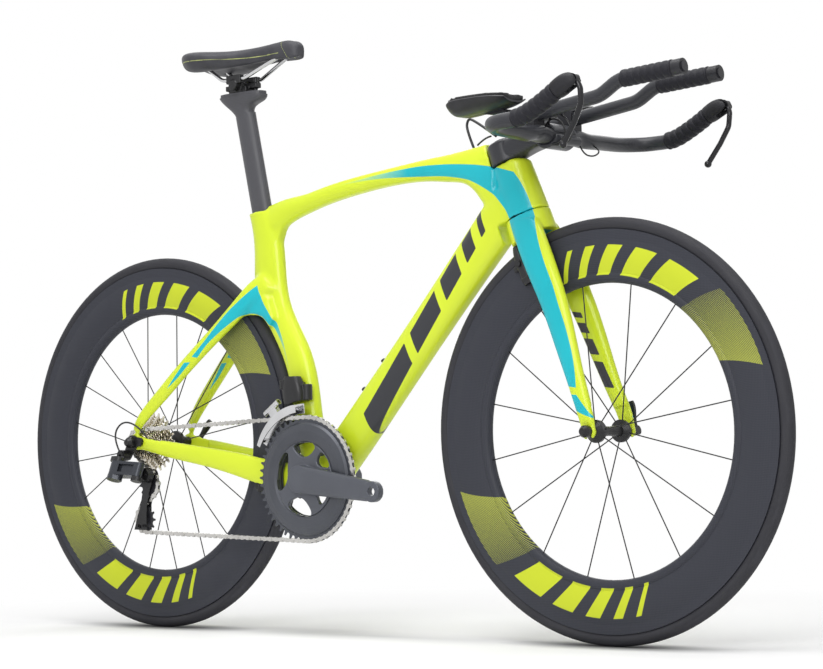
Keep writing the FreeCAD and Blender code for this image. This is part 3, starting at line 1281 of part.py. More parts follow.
shifter = bar(extension_tip - tip_way * 8.7, extension_tip + tip_way * 8, mm("extension_radius") + 1.6)
shifter = shifter.cut([bar(extension_tip + tip_way * 3, extension_tip + tip_way * 10, 8.3), left_extension])
keep("shifter_housings", gathered([shifter, mirrored(shifter)]))
button = bar(extension_tip + tip_way * 5.2, extension_tip + tip_way * 10.5, 8)
keep("shift_button_left", button)
keep("shift_button_right", mirrored(button))

hood_from = bar_spots()[13][0]
hood_to = bar_spots()[14][0]
hood_way = hood_to - hood_from
hood_way.normalize()
hood_up = hood_way.cross(SIDE) * -1
if hood_up.z < 0:
    hood_up = hood_up * -1


def hood_spot(along, rise=0.0, side=0.0):
    return hood_from + hood_way * along + hood_up * rise + SIDE * side


HOOD = ((0.3, 0, 14.2, 14.4, 2.2), (12, -0.5, 15, 15.2, 2.3), (26, -1.5, 14.4, 14.6, 2.4),
        (37, -4, 11.5, 12.5, 2.4), (43, -6, 7, 8.5, 2.3))
hood = loft([oval(hood_spot(along, rise), hood_up, SIDE, tall, broad, power)
             for along, rise, tall, broad, power in HOOD])
lever_pivot = hood_spot(36, -4)
lever_room = strap(lever_pivot + SIDE * -5.6, lever_pivot + Vector(22, -5.6, -6), 11, 11, 11.2)
lever_sweep = strap(lever_pivot + SIDE * -9, lever_pivot + Vector(-2, -9, -40), 12, 14, 14.6)
hood = hood.cut([lever_room, lever_sweep, left_bar, bar_tape])
hood = max(hood.Solids, key=lambda s: s.Volume)
pivot_pin = bar(lever_pivot + SIDE * -11, lever_pivot + SIDE * 8, 2.5)
hood = hood.fuse(pivot_pin)
keep("lever_hoods", gathered([hood, mirrored(hood)]))


def lever():
    """The left brake lever: a curved blade hanging from its pivot."""
    route = [lever_pivot + Vector(x, y, z) for x, y, z in
             ((2, 0, 2), (10, -2, -12), (9, -5, -36), (-6, -7.5, -62), (-29, -9.5, -93))]
    blade = swept(rounded_path(route, 18), 4.3)
    tip = Part.makeSphere(6, route[-1])
    eye = Part.makeCylinder(8.5, 9.8, lever_pivot + SIDE * -4.9, SIDE)
    return blade.fuse([tip, eye]).cut(bar(lever_pivot + SIDE * -30, lever_pivot + SIDE * 30, 2.55))


left_lever = lever()
keep("brake_lever_left", left_lever)
keep("brake_lever_right", mirrored(left_lever))

# Arm rests: a trough-shaped cup on a clamp round each extension, with a padded cushion in it.

pad_y = mm("pad_spacing") / 2
pad_half = mm("pad_width") / 2
pad_long = mm("pad_length")
pad_mid = Vector(head(head_high + 36).x + 45, pad_y, bar_z + 36.5)
pad_pitch = math.radians(5)
pad_fore = Vector(math.cos(pad_pitch), 0, math.sin(pad_pitch))
pad_up = Vector(-math.sin(pad_pitch), 0, math.cos(pad_pitch))


def trough(along, half_width, low, thickness, wall):
    """A cross-section of the cup or its pad: a shallow U of even thickness."""
    edge, bend = low + wall, low + wall * 0.22
    under = [(-half_width, edge), (-half_width * 0.62, bend), (0, low), (half_width * 0.62, bend),
             (half_width, edge)]
    spots = [pad_mid + pad_fore * along + SIDE * y + pad_up * z for y, z in under]
    tops = [pad_mid + pad_fore * along + SIDE * (y * 0.95) + pad_up * (z + thickness * t)
            for (y, z), t in zip(under, (0.55, 1.0, 0.9, 1.0, 0.55))]
    return Part.Wire([
        Part.Arc(spots[0], spots[1], spots[2]).toShape(), Part.Arc(spots[2], spots[3], spots[4]).toShape(),
        Part.LineSegment(spots[4], tops[4]).toShape(), Part.Arc(tops[4], tops[3], tops[2]).toShape(),
        Part.Arc(tops[2], tops[1], tops[0]).toShape(), Part.LineSegment(tops[0], spots[0]).toShape(),
    ])


CUP = ((-0.5, 0.72, 3, 13), (-0.42, 0.92, 0.5, 19), (-0.2, 1.0, 0, 20), (0.1, 1.0, 0.5, 17),
       (0.35, 0.9, 2.5, 12), (0.5, 0.66, 6, 6))
cup = loft([trough(pad_long * f, pad_half * w, low, 3.0, wall) for f, w, low, wall in CUP])
pad = loft([trough(pad_long * f * 0.97, pad_half * w * 0.94, low + 3.4, mm("pad_thickness"), wall * 0.96)
            for f, w, low, wall in CUP])
clamp_at = Vector(bar_x - 8, ext_y, bar_z + 29.5)
clamp_block = Part.makeBox(26, 28, 30, clamp_at + Vector(-13, -14, -16))
stalk = loft([oval(clamp_at + Vector(-3, 12, 1), Vector(1, 0, 0), UP, 10, 6, 2.8),
              oval(clamp_at + Vector(-20, 26, 4), Vector(1, 0, 0), UP, 14, 5, 2.8),
              oval(pad_mid + Vector(8, -6, 0.5), Vector(1, 0, 0), UP, 20, 3.5, 2.8)])
rest = clamp_block.fuse([stalk, cup.cut(pad)]).cut([left_extension, left_bar, pad])
rest = max(rest.Solids, key=lambda s: s.Volume)
keep("arm_rests", gathered([rest, mirrored(rest)]))
keep("arm_pads", gathered([pad, mirrored(pad)]))

# Brakes: a pivoted arm each side of each rim, with its pad block.


def brake_arm(axle, degrees, half_gap):
    """The left arm of one brake; degrees is where it stands round the wheel."""
    turn = math.radians(degrees)
    out = Vector(math.cos(turn), 0, math.sin(turn))
    around = Vector(-math.sin(turn), 0, math.cos(turn))
    def spot(radius, y, along=0.0):
        return axle + out * radius + around * along + SIDE * y
    pivot = spot(rim_out - 36, half_gap)
    track = rim_out - 8
    arm = loft([oval(spot(rim_out - 45, half_gap), around, SIDE, 8, 4.5, 2.8),
                oval(spot(rim_out - 20, half_gap), around, SIDE, 8, 4.5, 2.8),
                oval(spot(rim_out + 8, half_gap - 3), around, SIDE, 6.5, 4, 2.8),
                oval(spot(rim_out + 24, half_gap - 9), around, SIDE, 5, 3.6, 2.8)])
    boss = bar(pivot - around * 9, pivot + around * 8, 5.5)
    post = bar(spot(track, mm("rim_track_width") / 2 + 6), spot(track, half_gap + 6), 3.2)
    head_nut = bar(spot(track, half_gap + 3), spot(track, half_gap + 8), 5.5)
    hole = bar(pivot - around * 30, pivot + around * 30, 2.55)
    arm = arm.fuse([boss, post, head_nut]).cut(hole)
    pad_face = mm("rim_track_width") / 2 + 1.6
    block = loft([oval(spot(track, pad_face + 2.3, -21), out, SIDE, 4, 2.2, 3),
                  oval(spot(track, pad_face + 2.6, -15), out, SIDE, 5, 2.6, 3),
                  oval(spot(track, pad_face + 2.6, 15), out, SIDE, 5, 2.6, 3),
                  oval(spot(track, pad_face + 2.3, 21), out, SIDE, 4, 2.2, 3)])
    room = loft([oval(spot(rim_out - 52, half_gap), around, SIDE, 11, 9, 2.8),
                 oval(spot(rim_out - 8, half_gap), around, SIDE, 11, 9, 2.8),
                 oval(spot(rim_out + 8, half_gap - 3), around, SIDE, 9.5, 8.5, 2.8),
                 oval(spot(rim_out + 28, half_gap - 10), around, SIDE, 8, 7.6, 2.8)])
    room = room.fuse(bar(spot(track, half_gap), spot(track, half_gap + 12), 8.5))
    return gathered([arm.cut(block), block]), pivot, around, room


front_brake, front_pivot, front_around, front_room = brake_arm(front_axle, 118.5, 25)
rear_brake, rear_pivot, rear_around, rear_room = brake_arm(rear_axle, -17.0, 24)
keep("front_brake_arm_left", front_brake)
keep("front_brake_arm_right", mirrored(front_brake))
keep("rear_brake_arm_left", rear_brake)
keep("rear_brake_arm_right", mirrored(rear_brake))
front_studs = bar(front_pivot - front_around * 26, front_pivot + front_around * 10.5, 2.5)
rear_studs = bar(rear_pivot - rear_around * 10.5, rear_pivot + rear_around * 26, 2.5)
keep("fork", max(fork_shape.fuse([front_studs, mirrored(front_studs)]).Solids, key=lambda s: s.Volume))
left_chainstay = left_chainstay.cut(rear_room).fuse(rear_studs)
keep("chainstay_left", left_chainstay)
keep("chainstay_right", mirrored(left_chainstay))

# Seatpost and saddle.

post_top = (mm("post_neck_height") - mm("seat_collar_height")) / math.sin(seat_turn)
post_low = (mm("post_bottom_height") - mm("seat_collar_height")) / math.sin(seat_turn)
chord, width = mm("post_chord"), mm("post_width")
post = loft([post_section(post_low, chord, width), post_section(post_low * 0.4, chord, width),
             post_section(post_top * 0.5, chord, width), post_section(post_top, chord, width)])
neck = loft([post_section(post_top - 9, chord - 0.8, width - 0.8),
             oval(seat_local(post_top + 12, 0), seat_fore, SIDE, 26, 14, 2.4),
             oval(seat_local(post_top + 26, 2), Vector(1, 0, 0), SIDE, 48, 17, 2.8),
             oval(seat_local(post_top + 34, 2), Vector(1, 0, 0), SIDE, 52, 19, 3)])
deck_z = seat_local(post_top + 34).z
deck_x = seat_local(post_top + 34).x + 2
deck = loft([oval(Vector(deck_x, 0, deck_z - 3), Vector(1, 0, 0), SIDE, 50.5, 17.6, 3),
             oval(Vector(deck_x, 0, deck_z + 6), Vector(1, 0, 0), SIDE, 50, 17, 3)])
keep("seatpost", post.fuse([neck, deck]))

saddle_z = mm("saddle_height")
long = mm("saddle_length")
wide = mm("saddle_width") / 2
tail_x = deck_x - 118
rail_y = 21.0
rail_z = deck_z + 29
rail_path = rounded_path([Vector(deck_x - 72, rail_y + 4, saddle_z - 24), Vector(deck_x - 30, rail_y, rail_z),
                          Vector(deck_x + 24, rail_y, rail_z), Vector(deck_x + 101, 10, saddle_z - 24)], 22)
rail = swept(rail_path, mm("rail_radius"))
keep("saddle_rails", gathered([rail, mirrored(rail)]))

cradle = Part.makeBox(40, 30, 10, Vector(deck_x - 20, -15, deck_z + 6))
yoke = bar(Vector(deck_x, -29, deck_z + 18), Vector(deck_x, 29, deck_z + 18), 9)
cheeks = [Part.makeBox(34, 11, 15, Vector(deck_x - 17, y - 5.5, rail_z - 8)) for y in (-rail_y, rail_y)]
clamp_bolts = [bar(Vector(deck_x + x, 0, deck_z + 6), Vector(deck_x + x, 0, deck_z + 32), 4)
               for x in (-30, 30)]
clamp_lugs = [Part.makeBox(30, 14, 9, Vector(deck_x + x, -7, deck_z + 12)) for x in (-37, 7)]
saddle_clamp = cradle.fuse([yoke] + cheeks + clamp_bolts + clamp_lugs).cut([rail, mirrored(rail)])
keep("saddle_clamp", max(saddle_clamp.Solids, key=lambda s: s.Volume))

# Along the saddle: share of its length, half width, top, side and lowest heights below the top line.
SADDLE = ((0.0, 0.45, -5, 8, 17), (0.035, 0.66, 0, 7, 27), (0.12, 0.9, 1, 8, 34), (0.25, 0.98, -2, 9, 33),
          (0.4, 0.74, -5, 10, 29), (0.55, 0.48, -5, 10, 27), (0.7, 0.34, -3, 9, 27), (0.85, 0.3, 0, 9, 31),
          (0.95, 0.25, -1, 9, 31), (1.0, 0.12, -10, 6, 20))


def saddle_outline(share, half_width, top, shoulder, depth):
    """One cross-section: a crowned top, drawn-in sides and a flat underside."""
    x = tail_x + long * share
    w = wide * half_width
    z = saddle_z + top
    low = z - depth
    mid = z - shoulder
    points = [(0, z - 1.2), (0.45 * w, z), (0.8 * w, z - shoulder * 0.35), (w, mid - 2),
              (0.97 * w, low + depth * 0.35), (0.8 * w, low), (0, low + depth * 0.12)]
    ring = [Vector(x, y, h) for y, h in points]
    ring += [Vector(x, -y, h) for y, h in reversed(points[1:-1])]
    curve = Part.BSplineCurve()
    curve.interpolate(Points=ring, PeriodicFlag=True)
    return Part.Wire([curve.toShape()])


cover = loft([saddle_outline(*row) for row in SADDLE])
pad_line = loft([oval(Vector(tail_x - 12, 0, saddle_z - 62), SIDE, UP, wide + 30, 46, 6),
                 oval(Vector(tail_x + long * 0.5, 0, saddle_z - 68), SIDE, UP, wide + 30, 46, 6),
                 oval(Vector(tail_x + long + 12, 0, saddle_z - 62), SIDE, UP, wide + 30, 46, 6)])
rail_room = [rail, mirrored(rail)]
keep("saddle_cover", max(cover.cut(pad_line).Solids, key=lambda s: s.Volume))
shell = cover.common(pad_line).cut(rail_room)
keep("saddle_shell", max(shell.Solids, key=lambda s: s.Volume))

# Cables: the two that cross from the stem to the frame, and the derailleur's wire.

cable = mm("cable_radius")
entry = head(head_high + 30, -72)
first_route = rounded_path([Vector(entry.x + 6, 0, bar_z - 5), Vector(226, 0, bar_z + 29),
                            Vector(228, 0, bar_z + 45), Vector(238, 0, bar_z + 47),
                            Vector(287, 0, bar_z + 13)], 6)
joiner = bar(Vector(228, 0, bar_z + 24), Vector(226, 0, bar_z + 36), 4)
second_route = rounded_path([Vector(252, -5, bar_z + 1), Vector(268, -6, bar_z + 12),
                             Vector(281, -6, bar_z + 13)], 8)
first_cable = swept(first_route, cable).fuse(joiner).cut(frame_shape)
second_cable = swept(second_route, cable * 0.7).cut(frame_shape)
whole_cables = [max(c.Solids, key=lambda s: s.Volume) for c in (first_cable, second_cable)]
keep("steering_cables", gathered(whole_cables))
wire_y = -drop_out - 5
WIRE = ((32, -drop_out + 3, 7.6), (18, wire_y, 30), (-24, wire_y, 40), (-47, wire_y - 2, 12),
        (-27, wire_y - 5, -15))
wire_route = rounded_path([rear_axle + Vector(*place) for place in WIRE], 18)
keep("derailleur_wire", swept(wire_route, 1.6))

doc.recompute()
for thing in doc.Objects:
    if "Invalid" in thing.State or "Error" in thing.State:
        raise RuntimeError("%s did not build: %s" % (thing.Label, thing.State))
os.makedirs("parts", exist_ok=True)
for piece in pieces:
    if piece.Shape.isNull() or not piece.Shape.isValid() or not piece.Shape.Solids:
        raise RuntimeError("%s is not a valid solid" % piece.Label)
    piece.Shape.exportStep(os.path.join("parts", piece.Label + ".step"))
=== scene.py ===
import math

import bmesh
import bpy
import numpy as np
from mathutils import Matrix, Vector


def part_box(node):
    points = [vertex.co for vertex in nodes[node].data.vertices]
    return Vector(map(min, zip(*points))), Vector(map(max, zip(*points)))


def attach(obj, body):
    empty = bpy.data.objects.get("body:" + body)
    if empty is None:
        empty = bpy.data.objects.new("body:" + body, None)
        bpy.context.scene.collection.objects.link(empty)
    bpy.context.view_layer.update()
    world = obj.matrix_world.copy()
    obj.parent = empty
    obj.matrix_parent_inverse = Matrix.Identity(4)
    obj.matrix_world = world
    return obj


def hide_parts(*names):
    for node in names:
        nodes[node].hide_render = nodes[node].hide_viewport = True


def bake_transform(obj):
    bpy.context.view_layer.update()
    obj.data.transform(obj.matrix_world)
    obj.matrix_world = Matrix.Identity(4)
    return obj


# A time trial bike: finishes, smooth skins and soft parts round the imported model.
# Metres, X forward, Y to the rider's left, Z up. Paint outlines are in millimetres, as (X, Z).

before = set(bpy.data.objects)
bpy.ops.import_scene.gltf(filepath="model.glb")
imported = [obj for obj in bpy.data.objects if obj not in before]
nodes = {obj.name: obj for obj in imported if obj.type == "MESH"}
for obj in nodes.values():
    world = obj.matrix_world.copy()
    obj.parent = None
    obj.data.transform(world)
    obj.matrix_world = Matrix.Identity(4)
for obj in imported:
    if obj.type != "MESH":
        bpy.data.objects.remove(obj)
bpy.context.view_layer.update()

FRONT_AXLE = (0.495, 0.334)
REAR_AXLE = (-0.495, 0.334)
CHARCOAL = (0.03, 0.031, 0.037, 1)
MILLI = 1000
WELD = 1e-6
TINY = 1e-12
HUGE = 1e9
NO_PAINT = -5.0
FAR_OUTSIDE = -99.0


# Meshes.

def placed(name, data):
    """A new object in the scene, for a mesh, curve, lamp or camera."""
    made = bpy.data.objects.new(name, data)
    bpy.context.scene.collection.objects.link(made)
    return made


def baked(made):
    """Applies an object's modifiers to its mesh."""
    graph = bpy.context.evaluated_depsgraph_get()
    mesh = bpy.data.meshes.new_from_object(made.evaluated_get(graph))
    made.modifiers.clear()
    made.data = mesh
    return made


def smooth_shaded(made):
    made.data.polygons.foreach_set("use_smooth", [True] * len(made.data.polygons))
    return made


def joined_copy(name, node_names):
    """One new mesh with the shapes of a few nodes."""
    build = bmesh.new()
    for node_name in node_names:
        build.from_mesh(nodes[node_name].data)
    bmesh.ops.remove_doubles(build, verts=build.verts, dist=WELD)
    mesh = bpy.data.meshes.new(name)
    build.to_mesh(mesh)
    build.free()
    return placed(name, mesh)


def skin(name, node_names, voxel, rounds):
    """A seamless rounded skin over a few nodes, which it stands for."""
    made = joined_copy(name, node_names)
    remesh = made.modifiers.new("remesh", "REMESH")
    remesh.mode = "VOXEL"
    remesh.voxel_size = voxel
    smooth = made.modifiers.new("smooth", "SMOOTH")
    smooth.factor = 0.5
    smooth.iterations = rounds
    baked(made)
    smooth_shaded(made)
    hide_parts(*node_names)
    return made


def vertex_rows(made, key):
    """Three numbers for each vertex, a row each."""
    flat = np.zeros(len(made.data.vertices) * 3, np.float32)
    made.data.vertices.foreach_get(key, flat)
    return flat.reshape(-1, 3).astype(float)


def points_of(made):
    """Where the object's vertices are, in metres."""
    return vertex_rows(made, "co")


def normals_of(made):
    return vertex_rows(made, "normal")


def move_points(made, spots):
    """Puts each vertex in a new place."""
    made.data.vertices.foreach_set("co", spots.astype(np.float32).ravel())
    made.data.update()


def evened(made, rounds, shares, back=-0.52, forth=0.5):
    """Evens out ripples without thinning the shape; shares say how far each point takes part."""
    total = len(made.data.vertices)
    edges = np.zeros(len(made.data.edges) * 2, np.int32)
    made.data.edges.foreach_get("vertices", edges)
    first, second = edges.reshape(-1, 2).T
    taking_part = shares[first] + shares[second] > 0
    first, second = first[taking_part], second[taking_part]
    here = np.concatenate([first, second])
    there = np.concatenate([second, first])
    counts = np.maximum(np.bincount(here, minlength=total), 1)
    spots = points_of(made)
    for _ in range(rounds):
        for step in (forth, back):
            sums = [np.bincount(here, spots[there, k], total) for k in range(3)]
            spots += step * shares[:, None] * (np.stack(sums, 1) / counts[:, None] - spots)
    move_points(made, spots)


def near(made, places, steepness=2.5):
    """One near the middle of a few balls, given as centre and radius, fading to nought at their edges."""
    spots = points_of(made)
    best = np.zeros(len(spots))
    for centre, radius in places:
        away = np.linalg.norm(spots - np.array(centre), axis=1)
        best = np.maximum(best, np.clip((1 - away / radius) * steepness, 0, 1))
    return best


def write_attribute(made, name, values):
    """Keeps one number for each vertex, for the material to read."""
    attribute = made.data.attributes.new(name, "FLOAT", "POINT")
    attribute.data.foreach_set("value", np.asarray(values, np.float32))


def curve_through(points, steps=6):
    """A smooth line through a few points."""
    points = np.array(points, float)
    padded = np.vstack([2 * points[0] - points[1], points, 2 * points[-1] - points[-2]])
    line = []
    for i in range(1, len(padded) - 2):
        before, start, end, after = padded[i - 1:i + 3]
        square = 2 * before - 5 * start + 4 * end - after
        cube = 3 * start - before - 3 * end + after
        for t in np.linspace(0, 1, steps, endpoint=False):
            line.append(0.5 * (2 * start + (end - before) * t + square * t ** 2 + cube * t ** 3))
    line.append(points[-1])
    return np.array(line)


def inside_by(spots, outline):
    """How far each (x, z) spot lies inside a closed outline; negative outside."""
    starts = np.array(outline, float)
    ends = np.roll(starts, -1, axis=0)
    nearest = np.full(len(spots), HUGE)
    inside = np.zeros(len(spots), bool)
    for start, end in zip(starts, ends):
        edge = end - start
        if edge @ edge < TINY:
            continue
        away = spots - start
        share = np.clip(away @ edge / (edge @ edge), 0, 1)
        nearest = np.minimum(nearest, np.linalg.norm(away - share[:, None] * edge, axis=1))
        if abs(edge[1]) > TINY:
            level = (start[1] > spots[:, 1]) != (end[1] > spots[:, 1])
            inside ^= level & (spots[:, 0] < start[0] + away[:, 1] * edge[0] / edge[1])
    return np.where(inside, nearest, -nearest)


def ring_tube(name, rings):
    """A closed tube through rings of points, each ring with as many points."""
    count = len(rings[0])
    vertices = [tuple(p) for ring in rings for p in ring]
    faces = []
    for i in range(len(rings) - 1):
        for j in range(count):
            k = (j + 1) % count
            faces.append((i * count + j, i * count + k, (i + 1) * count + k, (i + 1) * count + j))
    faces.append(tuple(reversed(range(count))))
    faces.append(tuple(range((len(rings) - 1) * count, len(rings) * count)))
    mesh = bpy.data.meshes.new(name)
    mesh.from_pydata(vertices, [], faces)
    mesh.update()
    return smooth_shaded(placed(name, mesh))


# Materials.

# The colour sockets of a mix node, whose names are not unique.
MIX_FIRST = 6
MIX_SECOND = 7
MIX_COLOUR = 2


class Shader:
    """One procedural material, with short calls for its nodes."""

    def __init__(self, name, **sockets):
        self.material = bpy.data.materials.new(name)
        self.material.use_nodes = True
        self.tree = self.material.node_tree
        self.surface = self.tree.nodes["Principled BSDF"]
        for key, value in sockets.items():
            self.put(key.replace("_", " "), value)
        self.place = self.tree.nodes.new("ShaderNodeTexCoord").outputs["Object"]

    def put(self, socket, value):
        self.feed(self.surface.inputs[socket], value)

    def feed(self, socket, value):
        if isinstance(value, bpy.types.NodeSocket):
            self.tree.links.new(value, socket)
        else:
            socket.default_value = value

    def math(self, operation, first, second=0.0):
        made = self.tree.nodes.new("ShaderNodeMath")
        made.operation = operation
        self.feed(made.inputs[0], first)
        self.feed(made.inputs[1], second)
        return made.outputs[0]

    def mix(self, factor, first, second):
        """A colour between two others."""
        made = self.tree.nodes.new("ShaderNodeMix")
        made.data_type = "RGBA"
        self.feed(made.inputs[0], factor)
        self.feed(made.inputs[MIX_FIRST], first)
        self.feed(made.inputs[MIX_SECOND], second)
        return made.outputs[MIX_COLOUR]

    def between(self, value, low, high, out_low=0.0, out_high=1.0):
        """Maps low to high onto another range, and stops at its ends."""
        made = self.tree.nodes.new("ShaderNodeMapRange")
        for socket, number in zip(made.inputs, (value, low, high, out_low, out_high)):
            self.feed(socket, number)
        return made.outputs[0]

    def noise(self, scale, detail=3.0, stretch=None):
        made = self.tree.nodes.new("ShaderNodeTexNoise")
        made.inputs["Scale"].default_value = scale
        made.inputs["Detail"].default_value = detail
        self.feed(made.inputs["Vector"], self.stretched(stretch) if stretch else self.place)
        return made.outputs[0]

    def cells(self, scale):
        made = self.tree.nodes.new("ShaderNodeTexVoronoi")
        made.inputs["Scale"].default_value = scale
        self.feed(made.inputs["Vector"], self.place)
        return made.outputs["Distance"]

    def stretched(self, stretch):
        made = self.tree.nodes.new("ShaderNodeMapping")
        made.inputs["Scale"].default_value = stretch
        self.feed(made.inputs["Vector"], self.place)
        return made.outputs[0]

    def axes(self):
        """X, Y and Z in the object's own frame."""
        made = self.tree.nodes.new("ShaderNodeSeparateXYZ")
        self.feed(made.inputs[0], self.place)
        return made.outputs[0], made.outputs[1], made.outputs[2]

    def attribute(self, name):
        made = self.tree.nodes.new("ShaderNodeAttribute")
        made.attribute_name = name
        return made.outputs["Fac"]

    def bump(self, height, strength, distance):
        made = self.tree.nodes.new("ShaderNodeBump")
        made.inputs["Strength"].default_value = strength
        made.inputs["Distance"].default_value = distance
        self.feed(made.inputs["Height"], height)
        self.put("Normal", made.outputs[0])

    def weave(self, step):
        """A plain over-and-under weave, from minus one to one."""
        x, y, z = self.axes()
        turn = 2 * math.pi / step
        tilt = self.math("MULTIPLY", y, 0.7)
        first = self.math("ADD", self.math("ADD", x, z), tilt)
        second = self.math("SUBTRACT", self.math("SUBTRACT", x, z), tilt)
        return self.math("MULTIPLY", self.math("SINE", self.math("MULTIPLY", first, turn)),
                         self.math("SINE", self.math("MULTIPLY", second, turn)))

    def wheel_place(self, axle):
        """Angle and radius round an axle, and the sideways place."""
        x, y, z = self.axes()
        fore = self.math("SUBTRACT", x, axle[0])
        rise = self.math("SUBTRACT", z, axle[1])
        angle = self.math("ARCTAN2", rise, fore)
        squares = self.math("ADD", self.math("MULTIPLY", fore, fore), self.math("MULTIPLY", rise, rise))
        return angle, self.math("SQRT", squares), y

    def vary_rough(self, scale, low, high):
        self.put("Roughness", self.between(self.noise(scale), 0.3, 0.7, low, high))


def frame_paint():
    """Glossy yellow-green with blue and charcoal fields read from the mesh."""
    made = Shader("frame_paint", Roughness=0.32, Specular_IOR_Level=0.25,
                  Coat_Weight=0.3, Coat_Roughness=0.06)
    lime_cloud = made.between(made.noise(4.0), 0.35, 0.65)
    lime = made.mix(lime_cloud, (0.61, 0.75, 0.026, 1), (0.67, 0.79, 0.034, 1))
    blue_cloud = made.between(made.noise(6.0), 0.35, 0.65)
    blue = made.mix(blue_cloud, (0.003, 0.42, 0.50, 1), (0.006, 0.46, 0.54, 1))
    blue_edge = made.between(made.attribute("blue"), -0.35, 0.35)
    blue_share = made.math("MULTIPLY", blue_edge, made.attribute("fade"))
    dark_share = made.between(made.attribute("dark"), -0.3, 0.3)
    colour = made.mix(dark_share, made.mix(blue_share, lime, blue), CHARCOAL)
    made.put("Base Color", colour)
    made.bump(made.noise(700.0, 2.0), 0.03, 0.0004)
    return made.material


def carbon(name, low, high, rough_low, rough_high):
    """Matt carbon fibre with a faint weave under the lacquer."""
    made = Shader(name, Specular_IOR_Level=0.3, Coat_Weight=0.06, Coat_Roughness=0.3)
    weave = made.between(made.weave(0.0042), -0.6, 0.6)
    cloud = made.noise(9.0)
    share = made.math("MULTIPLY", made.between(cloud, 0.25, 0.75, 0.55, 1.0), weave)
    made.put("Base Color", made.mix(share, low, high))
    made.vary_rough(30.0, rough_low, rough_high)
    made.bump(weave, 0.05, 0.0002)
    return made.material


PANEL_RADII = (0.228, 0.306)
PANEL_BLOCK = (1.0, 27.0)
PANEL_FIRST_BAR = (33.0, 45.0)
PANEL_BARS = ((50.0, 58.0), (63.0, 68.5), (73.5, 77.0), (82.0, 84.0))


def rim_finish(name, axle, start):
    """Dark carbon with two opposite panels, in degrees: a hatched block, then slanted bars."""
    made = Shader(name, Specular_IOR_Level=0.18)
    angle, radius, _ = made.wheel_place(axle)
    half_turn = math.pi
    depth = made.between(radius, *PANEL_RADII)
    slant = made.math("MULTIPLY", made.math("SUBTRACT", depth, 0.5), math.radians(9))
    turned = made.math("ADD", made.math("SUBTRACT", angle, math.radians(start) - 4 * half_turn), slant)
    along = made.math("MODULO", turned, half_turn)
    degrees = made.math("MULTIPLY", along, 180 / math.pi)
    weave = made.between(made.weave(0.005), -0.6, 0.6)
    base = made.mix(weave, (0.034, 0.036, 0.046, 1), (0.046, 0.048, 0.060, 1))

    def band(value, low, high, soft):
        rising = made.between(value, low - soft, low + soft)
        falling = made.between(value, high - soft, high + soft, 1.0, 0.0)
        return made.math("MULTIPLY", rising, falling)

    rows = made.math("MULTIPLY", radius, 2400.0)
    lines = made.math("SINE", made.math("ADD", rows, made.math("MULTIPLY", degrees, 2.6)))
    block = band(degrees, *PANEL_BLOCK, 0.06)
    weight = made.between(degrees, *PANEL_BLOCK, 0.62, -0.75)
    hatch = made.between(made.math("ADD", lines, weight), -0.22, 0.22)
    block = made.math("MULTIPLY", made.math("MULTIPLY", block, hatch), band(depth, 0.03, 0.97, 0.004))
    bars = band(degrees, *PANEL_FIRST_BAR, 0.06)
    for low, high in PANEL_BARS:
        bars = made.math("ADD", bars, band(degrees, low, high, 0.06))
    bars = made.math("MULTIPLY", bars, band(depth, 0.2, 0.8, 0.006))
    olive = made.mix(block, base, (0.40, 0.43, 0.07, 1))
    made.put("Base Color", made.mix(bars, olive, (0.58, 0.66, 0.035, 1)))
    made.vary_rough(25.0, 0.42, 0.55)
    made.bump(weave, 0.04, 0.0002)
    return made.material


def tyre_rubber(name, axle):
    """Black rubber: a smooth crown and a fine file pattern on the shoulders."""
    made = Shader(name, Specular_IOR_Level=0.3)
    angle, radius, side = made.wheel_place(axle)
    rows = made.math("MULTIPLY", angle, 420.0)
    across = made.math("MULTIPLY", side, 2600.0)
    first = made.math("SINE", made.math("ADD", rows, across))
    second = made.math("SINE", made.math("SUBTRACT", rows, across))
    crown = made.between(radius, 0.3255, 0.3285)
    file = made.math("MULTIPLY", made.math("MULTIPLY", first, second), crown)
    wear = made.noise(18.0, 5.0)
    tread = made.mix(made.between(wear, 0.35, 0.7), (0.026, 0.026, 0.031, 1), (0.045, 0.045, 0.053, 1))
    made.put("Base Color", made.mix(crown, (0.03, 0.03, 0.036, 1), tread))
    made.put("Roughness", made.between(wear, 0.3, 0.7, 0.55, 0.8))
    made.bump(file, 0.35, 0.0004)
    return made.material


def grained(name, low, high, rough, grain, depth, **sockets):
    """Moulded rubber or plastic with a fine grain."""
    made = Shader(name, **sockets)
    made.put("Base Color", made.mix(made.between(made.noise(40.0), 0.35, 0.65), low, high))
    made.vary_rough(120.0, rough - 0.06, rough + 0.06)
    made.bump(made.noise(grain, 4.0), 0.3, depth)
    return made.material


def metal(name, low, high, rough, stretch, metallic=1.0):
    """Metal with a drawn grain and slightly uneven polish."""
    made = Shader(name, Metallic=metallic)
    grain = made.noise(420.0, 3.0, stretch)
    cloud = made.noise(14.0)
    made.put("Base Color", made.mix(made.between(cloud, 0.3, 0.7), low, high))
    made.put("Roughness", made.between(grain, 0.3, 0.7, rough - 0.05, rough + 0.05))
    made.bump(grain, 0.03, 0.0001)
    return made.material


def tape_finish():
    """Cushioned handlebar tape with tiny pricked holes."""
    made = Shader("tape", Specular_IOR_Level=0.2, Sheen_Weight=0.05)
    pricks = made.between(made.cells(420.0), 0.1, 0.3)
    made.put("Base Color", made.mix(pricks, (0.006, 0.006, 0.008, 1), (0.015, 0.015, 0.02, 1)))
    made.vary_rough(60.0, 0.5, 0.65)
    made.bump(made.math("ADD", pricks, made.math("MULTIPLY", made.noise(500.0), 0.6)), 0.4, 0.0004)
    return made.material


